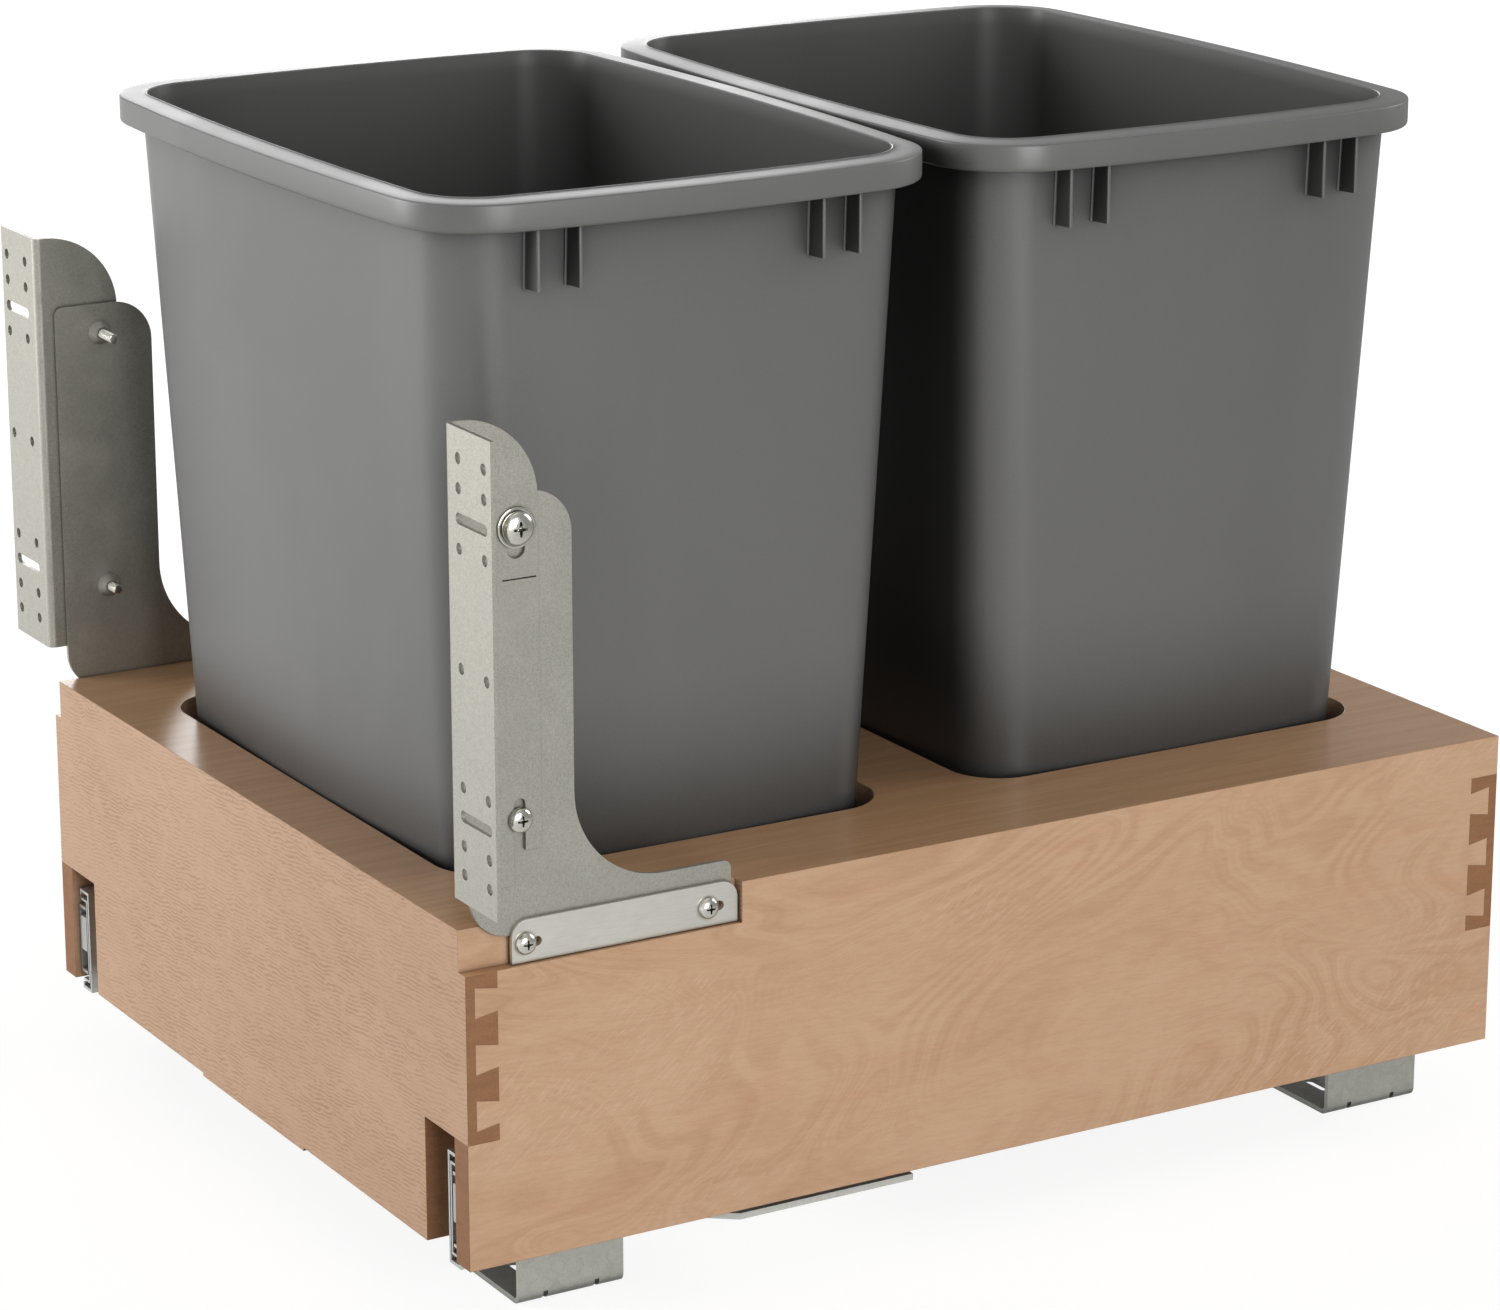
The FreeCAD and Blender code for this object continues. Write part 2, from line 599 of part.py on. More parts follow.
def floor_bracket(stem, start):
    """Angle on the cabinet floor that carries the outer member of the right slide."""
    face = "slide_in - bracket_steel"
    corners = [("slide_in", "0", "bend_radius"), ("slide_in", "bracket_height"), (face, "bracket_height"),
               (face, "bracket_steel", "bend_radius - bracket_steel"),
               ("slide_in - bracket_foot", "bracket_steel"), ("slide_in - bracket_foot", "0")]
    angle = slab(stem + "_blank", "XZ", corners, "front + " + start, "bracket_length")
    tools = []
    sides = (("near", "front + %s + " % start), ("far", "front + %s + bracket_length - " % start))
    for name, place in sides:
        tools.append(slot("%s_floor_slot_%s" % (stem, name), "Z", "X",
                          ("slide_in - floor_slot_in", place + "floor_slot_side", "-%d" % PAST),
                          "floor_slot_radius", "floor_slot_length", "bracket_steel + %d" % (2 * PAST)))
        tools.append(box("%s_bend_slot_%s" % (stem, name),
                         ("slide_in - bend_slot_high", place + "bend_slot_side - bend_slot_width / 2",
                          "-%d" % PAST),
                         ("bend_slot_high + %d" % PAST, "bend_slot_width", "bend_slot_high + %d" % PAST)))
        tools.append(rod("%s_rivet_hole_%s" % (stem, name), "X",
                         ("%s - %d" % (face, PAST), place + "rivet_side", "slide_mid"),
                         "rivet_radius + screw_play", "bracket_steel + %d" % (2 * PAST)))
    return cut(stem, angle, tools)


def cross_brace():
    """Flat plate under both slides, with its front corners cut off and a tab up beside each slide."""
    reach = "slide_in + brace_reach"
    start, end = "front + brace_start", "front + brace_end"
    corners = [("-(%s) + brace_chamfer_x" % reach, start), (reach + " - brace_chamfer_x", start),
               (reach, start + " + brace_chamfer_y"), (reach, end), ("-(%s)" % reach, end),
               ("-(%s)" % reach, start + " + brace_chamfer_y")]
    plate = slab("brace_plate", "XY", corners, "slide_low - brace_thick", "brace_thick")
    tab = box("brace_tab_right",
              ("slide_in - brace_thick", start + " + brace_tab_inset", "slide_low - brace_thick"),
              ("brace_thick", "brace_tab_length", "brace_tab_high + brace_thick"))
    blank = fuse("brace_blank", [plate, tab, mirrored("brace_tab_left", tab)])
    holes = []
    for index, y in enumerate(brace_rows()):
        for side, x in (("right", "slide_in - brace_thick - %d" % PAST), ("left", "-slide_in - %d" % PAST)):
            holes.append(rod("brace_hole_%s_%d" % (side, index), "X", (x, y, "slide_mid"),
                             "rivet_radius + screw_play", "brace_thick + %d" % (2 * PAST)))
    return cut("cross_brace", blank, holes)


def build_floor_frame():
    """What is screwed to the cabinet floor."""
    both_sides("floor_bracket_front", floor_bracket("floor_bracket_front", "bracket_front"))
    both_sides("floor_bracket_rear", floor_bracket("floor_bracket_rear", "bracket_rear"))
    kept(cross_brace(), "cross_brace")


# ---------------------------------------------------------------- door brackets

def base_bracket():
    """Upright plate whose long foot stands in the recess; two flared bosses take the screws."""
    foot = "clamp_start + foot_ahead"
    foot_back = "clamp_end + clamp_clear - foot_end"
    shelf, heel = "panel_top + foot_high", "panel_top - base_heel"
    corners = [(foot, "clamp_low"), (foot, heel), ("base_start", heel, "base_low_round"),
               ("base_start", "panel_top + base_high", "small_round"),
               ("base_end", "panel_top + base_high", "base_top_round"), ("base_end", shelf, "base_sweep"),
               (foot_back, shelf, "small_round"), (foot_back, "clamp_low")]
    plate = slab("base_plate", "YZ", corners, "recess_x", "plate_thick")
    solids, holes = [plate], []
    for name, z in (("low", "hanger_z"), ("top", "hanger_top")):
        solids.append(cone("boss_" + name, "X", ("recess_x - boss_deep", "hanger_y", z),
                           "boss_lip", "boss_radius", "boss_deep"))
        holes.append(rod("boss_hole_" + name, "X", ("recess_x - boss_deep - %d" % PAST, "hanger_y", z),
                         "hanger_radius + screw_play", "boss_deep + plate_thick + %d" % (2 * PAST)))
    for name, y in (("near", "clamp_screw_near"), ("far", "clamp_screw_far")):
        holes.append(foot_slot("foot_slot_" + name, y, "recess_x - %d" % PAST,
                               "plate_thick + %d" % (2 * PAST)))
    return cut("base_bracket", fuse("base_blank", solids), holes)


def foot_slot(label, y, start, depth):
    """Tool for a slot that lets the bracket shift to and fro past its screw."""
    middle = "%s + (clamp_slot_behind - clamp_slot_ahead) / 2" % y
    return slot(label, "X", "Y", (start, middle, "clamp_screw_z"), "clamp_slot_radius",
                "clamp_slot_ahead + clamp_slot_behind", depth)


def clamp_plate():
    """Plate that presses the foot of the base bracket into the recess."""
    high = "clamp_low + clamp_height"
    corners = [("clamp_start", "clamp_low"), ("clamp_end", "clamp_low"), ("clamp_end", high, "clamp_round"),
               ("clamp_start", high, "clamp_round")]
    plate = slab("clamp_blank", "YZ", corners, "base_out", "clamp_thick")
    slots = [foot_slot("clamp_slot_" + name, y, "base_out - %d" % PAST, "clamp_thick + %d" % (2 * PAST))
             for name, y in (("near", "clamp_screw_near"), ("far", "clamp_screw_far"))]
    return cut("clamp_plate", plate, slots)


def domed_screw(label, y):
    """Screw with a domed head on the clamp plate; its thread ends in the top panel."""
    dome = cap(label + "_dome", "X", ("clamp_out", y, "clamp_screw_z"), "clamp_screw_head",
               "clamp_screw_high")
    shank = rod(label + "_shank", "X", ("recess_x - clamp_screw_bite", y, "clamp_screw_z"),
                "clamp_screw_radius", "clamp_out - recess_x + clamp_screw_bite + clamp_screw_high / 2")
    drive = cross_drive(label + "_drive", "clamp_out + clamp_screw_high", y, "clamp_screw_z")
    return cut(label, fuse(label + "_blank", [dome, shank]), drive)


def hanger_screw(label, z, seat, head, bite):
    """Screw that holds the door plate: its head lies on seat, its thread ends inboard of the bracket."""
    rim = "hanger_head_high * 0.3"
    base = rod(label + "_rim", "X", (seat, "hanger_y", z), head, rim)
    dome = cap(label + "_dome", "X", ("%s + %s" % (seat, rim), "hanger_y", z), head,
               "hanger_head_high * 0.7")
    shank = rod(label + "_shank", "X", ("recess_x - " + bite, "hanger_y", z), "hanger_radius",
                "%s - recess_x + %s + %s" % (seat, bite, rim))
    drive = cross_drive(label + "_drive", seat + " + hanger_head_high", "hanger_y", z)
    return cut(label, fuse(label + "_blank", [base, dome, shank]), drive)


def door_plate():
    """Angle for the back of the door: holes and slots in front, a rounded ear beside the base bracket."""
    tip = "base_out + flange_width"
    ear_end = "flange_y + ear_depth"
    profile = [("base_out", "flange_y", "door_bend"), (tip, "flange_y"),
               (tip, "flange_y + plate_thick"),
               ("door_out", "flange_y + plate_thick", "door_bend - plate_thick"), ("door_out", ear_end),
               ("base_out", ear_end)]
    angle = slab("door_angle", "XY", profile, "flange_z", "flange_height")
    high = "flange_z + flange_height"
    step = "flange_z + ear_step"
    slot_top = "hanger_z + hanger_radius + lower_slot_above"
    slot_front, slot_back = "hanger_y - lower_slot_radius", "hanger_y + lower_slot_radius"
    before, below = "flange_y - %d" % PAST, "flange_z - %d" % PAST
    side = [(before, below), (slot_front, below), (slot_front, slot_top, "lower_slot_radius * 0.9"),
            (slot_back, slot_top, "lower_slot_radius * 0.9"), (slot_back, step), (ear_end, step),
            (ear_end, high, "ear_round"), (before, high)]
    ear = slab("door_ear", "YZ", side, "base_out - %d" % PAST, "flange_width + %d" % (2 * PAST))
    shaped = doc.addObject("Part::Common", "door_shaped")
    shaped.Base = angle
    shaped.Tool = ear
    return cut("door_plate", shaped, door_plate_holes())


def door_plate_holes():
    """Tools for the holes of the door plate."""
    tools = []
    inner = "base_out + hole_in"
    depth = "plate_thick + %d" % (2 * PAST)
    before, beside = "flange_y - %d" % PAST, "base_out - %d" % PAST
    columns = (("inner", inner), ("outer", inner + " + hole_pitch"))
    rows = ["0"]
    for size in ("hole_near", "hole_middle", "hole_far"):
        rows += [size, "-" + size]
    for name, x in columns:
        for index, row in enumerate(rows):
            tools.append(rod("door_hole_%s_%d" % (name, index), "Y",
                             (x, before, "flange_mid + (%s)" % row), "hole_radius", depth))
    for name, sign in (("low", "-"), ("high", "+")):
        tools.append(slot("door_slot_" + name, "Y", "X",
                          (inner + " + hole_pitch / 2", before, "flange_mid %s door_slot_at" % sign),
                          "hole_radius", "door_slot_length", depth))
    tools.append(slot("hanger_slot", "X", "Z",
                      (beside, "hanger_y", "hanger_top + (upper_slot_above - upper_slot_below) / 2"),
                      "upper_slot_radius", "upper_slot_above + upper_slot_below", depth))
    tools.append(box("slit", (beside, "hanger_y - slit_ahead", "flange_z + slit_at"),
                     (depth, "slit_length", "slit_height")))
    return tools


def build_door_brackets():
    """Base bracket, clamp plate, door plate and their screws on both sides."""
    both_sides("base_bracket", base_bracket())
    both_sides("clamp_plate", clamp_plate())
    both_sides("door_plate", door_plate())
    washer = cut("washer", rod("washer_disc", "X", ("door_out", "hanger_y", "hanger_top"),
                               "washer_radius", "washer_thick"),
                 [rod("washer_hole", "X", ("door_out - %d" % PAST, "hanger_y", "hanger_top"),
                      "hanger_radius + screw_play", "washer_thick + %d" % (2 * PAST))])
    both_sides("hanger_washer", washer)
    both_sides("top_screw", hanger_screw("top_screw", "hanger_top", "door_out + washer_thick",
                                         "top_head", "top_bite"))
    both_sides("low_screw", hanger_screw("low_screw", "hanger_z", "door_out", "low_head", "low_bite"))
    domed = [domed_screw("clamp_screw_near", "clamp_screw_near"),
             domed_screw("clamp_screw_far", "clamp_screw_far")]
    kept(pairs("clamp_screws", domed), "clamp_screws")


# ---------------------------------------------------------------- bins

def bowed_outline(centre, height, half_x, half_y, bow, corner):
    """Rectangle with round corners whose sides bow out: eight arcs that run smoothly into each other."""
    reach_x = ((half_y - bow) ** 2 + bow ** 2) / (2 * bow)
    reach_y = ((half_x - bow) ** 2 + bow ** 2) / (2 * bow)
    # middles of the side arcs; the middle of a corner arc lies its own radius inside both of them
    middle_x, middle_y = Vector(half_x - reach_x, 0, 0), Vector(0, half_y - reach_y, 0)
    apart = (middle_y - middle_x).Length
    toward = (middle_y - middle_x) / apart
    along = ((reach_x - corner) ** 2 - (reach_y - corner) ** 2 + apart ** 2) / (2 * apart)
    off = math.sqrt((reach_x - corner) ** 2 - along ** 2)
    middle = middle_x + toward * along + Vector(-toward.y, toward.x, 0) * off
    to_x, to_y = (middle - middle_x).normalize(), (middle - middle_y).normalize()
    touches = [middle + direction * corner for direction in (to_x, (to_x + to_y).normalize(), to_y)]
    corners = []
    for sign_x, sign_y in ((1, 1), (-1, 1), (-1, -1), (1, -1)):
        points = [Vector(sign_x * point.x, sign_y * point.y, 0) for point in touches]
        corners.append(points if sign_x == sign_y else points[::-1])
    crowns = [Vector(0, half_y, 0), Vector(-half_x, 0, 0), Vector(0, -half_y, 0), Vector(half_x, 0, 0)]
    edges = []
    for index, points in enumerate(corners):
        side = [points[2], crowns[index], corners[(index + 1) % 4][0]]
        for curve in (points, side):
            placed = [point + Vector(0, centre, height) for point in curve]
            edges.append(Part.Arc(*placed).toShape())
    return Part.Wire(edges)


def bin_section(centre, level, inset):
    """Outline of a bin at a level above its foot, drawn in by inset."""
    spread = number("bin_draft") * level - inset
    return bowed_outline(centre, number("bin_base") + level, number("bin_low_x") + spread,
                         number("bin_low_y") + spread, number("bin_bow"), number("bin_corner") - inset * 0.6)


def rim_block(centre, inset, low, high):
    """Solid under the outline of the rim, drawn in by inset, between two heights."""
    wire = bowed_outline(centre, low, number("rim_x") - inset, number("rim_y") - inset,
                         number("rim_bow"), number("rim_corner") - inset)
    return Part.Face(wire).extrude(Vector(0, 0, high - low))


def bin_ribs(centre, top, rim_low):
    """Gussets under the rim on the two short sides, sloping at the bottom."""
    wall = number("bin_low_x") + number("bin_draft") * (rim_low - number("bin_base"))
    rib_low = rim_low - number("rib_height")
    root = wall - number("bin_draft") * number("rib_height") - number("bin_wall") / 2
    tip = number("rim_x") - number("rim_wall") - number("rib_inset")
    ribs = []
    for side in (1, -1):
        for y in (-number("rib_outer"), -number("rib_inner"), number("rib_inner"), number("rib_outer")):
            start = centre + y - number("rib_thick") / 2
            face = Part.Face(Part.makePolygon([
                Vector(side * root, start, top), Vector(side * tip, start, top),
                Vector(side * tip, start, rib_low), Vector(side * root, start, rib_low - number("rib_slope")),
                Vector(side * root, start, top)]))
            ribs.append(face.extrude(Vector(0, number("rib_thick"), 0)))
    return ribs


def waste_bin(label, centre_name):
    """Tapered plastic bin with a hollow rim and gussets under it."""
    centre = number(centre_name)
    height, wall = number("bin_height"), number("bin_wall")
    foot = number("bin_foot_round")
    top = number("bin_base") + height
    rim_low = top - number("rim_height")
    outside = Part.makeLoft([bin_section(centre, 0, foot), bin_section(centre, foot * 0.35, foot * 0.35),
                             bin_section(centre, foot, 0), bin_section(centre, height, 0)], True, True)
    hollow = Part.makeLoft([bin_section(centre, wall, wall + foot), bin_section(centre, wall + foot, wall),
                            bin_section(centre, height + PAST, wall)], True, True)
    skirt = rim_block(centre, 0, rim_low, top).cut(
        rim_block(centre, number("rim_wall"), rim_low - PAST, top - wall))
    edges = [edge for edge in skirt.Edges if abs(edge.BoundBox.ZMin - top) < SAME]
    skirt = skirt.makeFillet(number("rim_round"), edges)
    solid = outside.fuse([skirt] + bin_ribs(centre, top - wall / 2, rim_low)).cut(hollow)
    item = doc.addObject("Part::Feature", label)
    item.Shape = solid.removeSplitter()
    item.Placement = Placement()
    return item


# ---------------------------------------------------------------- whole unit

def check_document():
    """Stop if any object failed or any node has no sound shape."""
    for item in doc.Objects:
        wrong = [state for state in item.State if state in ("Invalid", "Error")]
        if wrong:
            raise RuntimeError("%s is %s" % (item.Label, wrong))
    for item in nodes:
        if item.Shape.isNull() or not item.Shape.isValid():
            raise RuntimeError("%s has no sound shape" % item.Label)


def write_parts():
    """Write each node to a file of its own."""
    os.makedirs("parts", exist_ok=True)
    for item in nodes:
        item.Shape.exportStep("parts/%s.step" % item.Label)
        print("%-28s %2d solids %12.1f mm3" % (item.Label, len(item.Shape.Solids), item.Shape.Volume))


build_tray()
build_slides()
build_floor_frame()
build_door_brackets()
kept(waste_bin("front_bin", "bin_front_y"), "front_bin")
kept(waste_bin("rear_bin", "bin_rear_y"), "rear_bin")
doc.recompute()
doc.removeObject(desk.Name)
check_document()
write_parts()
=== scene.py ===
"""Looks of a pull-out waste bin unit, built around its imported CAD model."""

import logging
import math
from collections.abc import Iterable, Sequence
from dataclasses import dataclass
from enum import Enum

import bmesh
import bpy
from mathutils import Matrix, Vector


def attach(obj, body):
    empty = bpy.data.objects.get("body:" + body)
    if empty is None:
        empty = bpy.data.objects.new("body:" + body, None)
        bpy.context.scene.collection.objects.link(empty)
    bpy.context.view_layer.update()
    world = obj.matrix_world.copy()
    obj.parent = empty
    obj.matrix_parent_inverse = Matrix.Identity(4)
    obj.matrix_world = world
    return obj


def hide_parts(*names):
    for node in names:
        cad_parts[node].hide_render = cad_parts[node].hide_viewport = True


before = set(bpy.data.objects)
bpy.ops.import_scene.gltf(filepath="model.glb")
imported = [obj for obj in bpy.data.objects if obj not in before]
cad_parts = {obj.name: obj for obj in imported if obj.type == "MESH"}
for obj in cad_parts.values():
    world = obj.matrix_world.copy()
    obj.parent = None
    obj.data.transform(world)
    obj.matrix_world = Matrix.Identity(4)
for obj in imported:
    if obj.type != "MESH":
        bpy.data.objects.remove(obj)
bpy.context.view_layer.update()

MM = 0.001
# name of the mark on a bin's inside faces, which the bin's finish darkens and dulls as painted shade
INSIDE_MARK = "inside"
BEVEL_SAMPLES = 4
# rays for the mask of painted shade in corners, crevices and gaps
PAINTED_SHADE_SAMPLES = 6
BLACK = (0.0, 0.0, 0.0, 1.0)
DOUBLED = 1e-7  # points of a new piece that are nearer than this, in metres, are joined
WELD = 1e-6  # the same for the points of a CAD node
EDGE_ANGLE = 32.0  # turn, in degrees, from which an edge of a CAD node is rounded
Triple = tuple[float, float, float]
Rows = tuple[tuple[float, float], ...]
Socket = bpy.types.NodeSocket
Material = bpy.types.Material
Piece = bpy.types.Object

log = logging.getLogger("bin_unit")


class Side(Enum):
    """Sides of the unit, each with the sign of its X."""

    LEFT = -1
    RIGHT = 1

    def name_of(self, stem: str) -> str:
        """Name of the CAD node or body of this side."""
        return f"{stem}_{self.name.lower()}"


class Grain(Enum):
    """Ways a board's grain can run, each with the axis's index."""

    ACROSS = 0
    ALONG = 1
    UPRIGHT = 2


# ---------------- colours and nodes


@dataclass(frozen=True)
class Tint:
    """Colour as a screen shows it, from 0 to 255."""

    red: float
    green: float
    blue: float

    def scene_value(self) -> tuple[float, float, float, float]:
        """The colour in the renderer's linear values, with full cover."""
        shares = (self.red / 255, self.green / 255, self.blue / 255)
        linear = [s / 12.92 if s <= 0.04045 else ((s + 0.055) / 1.055) ** 2.4 for s in shares]
        return (linear[0], linear[1], linear[2], 1.0)


class NodeDesk:
    """Lays out and joins the nodes of one material or surround."""

    def __init__(self, holder: Material | bpy.types.World) -> None:
        """Starts with no nodes but the one that tells places.

        Args:
            holder: New material or surround that the nodes belong to.
        """
        holder.use_nodes = True
        self.holder = holder
        self.tree = holder.node_tree
        self.tree.nodes.clear()
        self.place = self.add("TexCoord")

    def add(self, kind: str, settings: dict[str, object] | None = None,
            sockets: dict[str | int, object] | None = None) -> bpy.types.Node:
        """Adds a node.

        Args:
            kind: Blender's name for the sort of node, after ShaderNode.
            settings: Values of the node's own settings.
            sockets: Values or other nodes' outputs for its inputs.

        Returns:
            The new node.
        """
        node = self.tree.nodes.new(f"ShaderNode{kind}")
        for label, value in (settings or {}).items():
            setattr(node, label, value)
        for label, value in (sockets or {}).items():
            if isinstance(value, Socket):
                self.tree.links.new(value, node.inputs[label])
            else:
                node.inputs[label].default_value = value
        return node

    def sum_of(self, operation: str, first: object, second: object = 0.0, third: object = 0.0) -> Socket:
        """Output of one step of arithmetic on values or outputs."""
        return self.add("Math", {"operation": operation}, {0: first, 1: second, 2: third}).outputs[0]

    def times(self, first: object, second: object) -> Socket:
        """Product of two values or outputs."""
        return self.sum_of("MULTIPLY", first, second)

    def times_plus(self, first: object, second: object, more: object) -> Socket:
        """Product of two values or outputs, plus a third."""
        return self.sum_of("MULTIPLY_ADD", first, second, more)

    def spot(self, scale: Triple) -> Socket:
        """Place on the piece, stretched by scale."""
        return self.add("Mapping", None, {"Vector": self.place.outputs["Object"], "Scale": scale}).outputs[0]

    def noise(self, scale: Triple, detail: float = 2.0, rough: float = 0.5, bend: float = 0.0) -> Socket:
        """Soft random pattern.

        Args:
            scale: Patches in a metre, along each axis.
            detail: Number of finer layers.
            rough: Share that each finer layer adds.
            bend: How far the pattern is bent by itself.

        Returns:
            The pattern, from 0 to 1.
        """
        return self.add("TexNoise", None, {"Vector": self.spot(scale), "Scale": 1.0, "Detail": detail,
                                           "Roughness": rough, "Distortion": bend}).outputs[0]

    def levels(self, value: Socket, low: float, high: float, at_low: float = 0.0, at_high: float = 1.0) -> Socket:
        """A pattern's values from low to high, spread smoothly from at_low to at_high."""
        return self.add("MapRange", {"interpolation_type": "SMOOTHSTEP"},
                        {0: value, 1: low, 2: high, 3: at_low, 4: at_high}).outputs[0]

    def blend(self, share: object, first: object, second: object) -> Socket:
        """Colour between two colours, second where share is 1."""
        node = self.add("Mix", {"data_type": "RGBA"}, {0: share, 6: first, 7: second})
        return node.outputs[2]

    def shaded(self, colour: object, share: Socket, depth: float) -> Socket:
        """Colour darkened by up to depth where share is 1."""
        return self.blend(self.times(share, depth), colour, BLACK)

    def painted_shade_mask(self, reach: float, open_from: float = 0.35) -> Socket:
        """How far a point is closed in by surfaces within reach metres, from 0 out in the open to 1, used as the
        share of painted shade.
        """
        space = self.add("AmbientOcclusion", {"samples": PAINTED_SHADE_SAMPLES}, {"Distance": reach}).outputs["AO"]
        return self.levels(space, open_from, 1.0, 1.0, 0.0)

    def round_edges(self, radius: float) -> Socket:
        """Direction of the surface, with its edges rounded to a radius in metres."""
        return self.add("Bevel", {"samples": BEVEL_SAMPLES}, {"Radius": radius}).outputs[0]

    def seen(self) -> tuple[Socket, Socket]:
        """Shares of the rays that come straight from the camera, and of those together with mirrored ones."""
        ray = self.add("LightPath").outputs
        mirrored = self.sum_of("MAXIMUM", ray["Is Glossy Ray"], ray["Is Transmission Ray"])
        return ray["Is Camera Ray"], self.sum_of("MAXIMUM", ray["Is Camera Ray"], mirrored)

    def toward(self, place: Socket, way: Triple) -> Socket:
        """How far a place lies along a way."""
        return self.add("VectorMath", {"operation": "DOT_PRODUCT"}, {0: place, 1: way}).outputs[1]

    def slanted(self, angle: float, scale: Triple) -> Socket:
        """Place on the piece, turned on the side and end faces and then stretched.

        Args:
            angle: Turn, in degrees.
            scale: Stretch along each axis.

        Returns:
            The place.
        """
        turn = math.radians(angle)
        turned_place = self.add("Mapping", None, {"Vector": self.place.outputs["Object"],
                                                  "Rotation": (turn, turn, 0.0)}).outputs[0]
        return self.add("Mapping", None, {"Vector": turned_place, "Scale": scale}).outputs[0]

    def raised(self, height: Socket, deep: float, strength: float = 1.0, rounded: Socket | None = None) -> Socket:
        """Surface direction of a relief.

        Args:
            height: Relief, from 0 to 1.
            deep: Its depth, in metres.
            strength: Share of it that shows.
            rounded: Direction of the surface under it, where its edges are rounded.

        Returns:
            The direction.
        """
        sockets: dict[str | int, object] = {"Height": height, "Distance": deep, "Strength": strength}
        if rounded is not None:
            sockets["Normal"] = rounded
        return self.add("Bump", None, sockets).outputs[0]

    def finish(self, sockets: dict[str | int, object]) -> Material:
        """Joins the surface shader to the output.

        Args:
            sockets: Inputs of the surface shader.

        Returns:
            The finished material.
        """
        shader = self.add("BsdfPrincipled", None, sockets)
        self.add("OutputMaterial", None, {"Surface": shader.outputs[0]})
        return self.holder


# ---------------- finishes


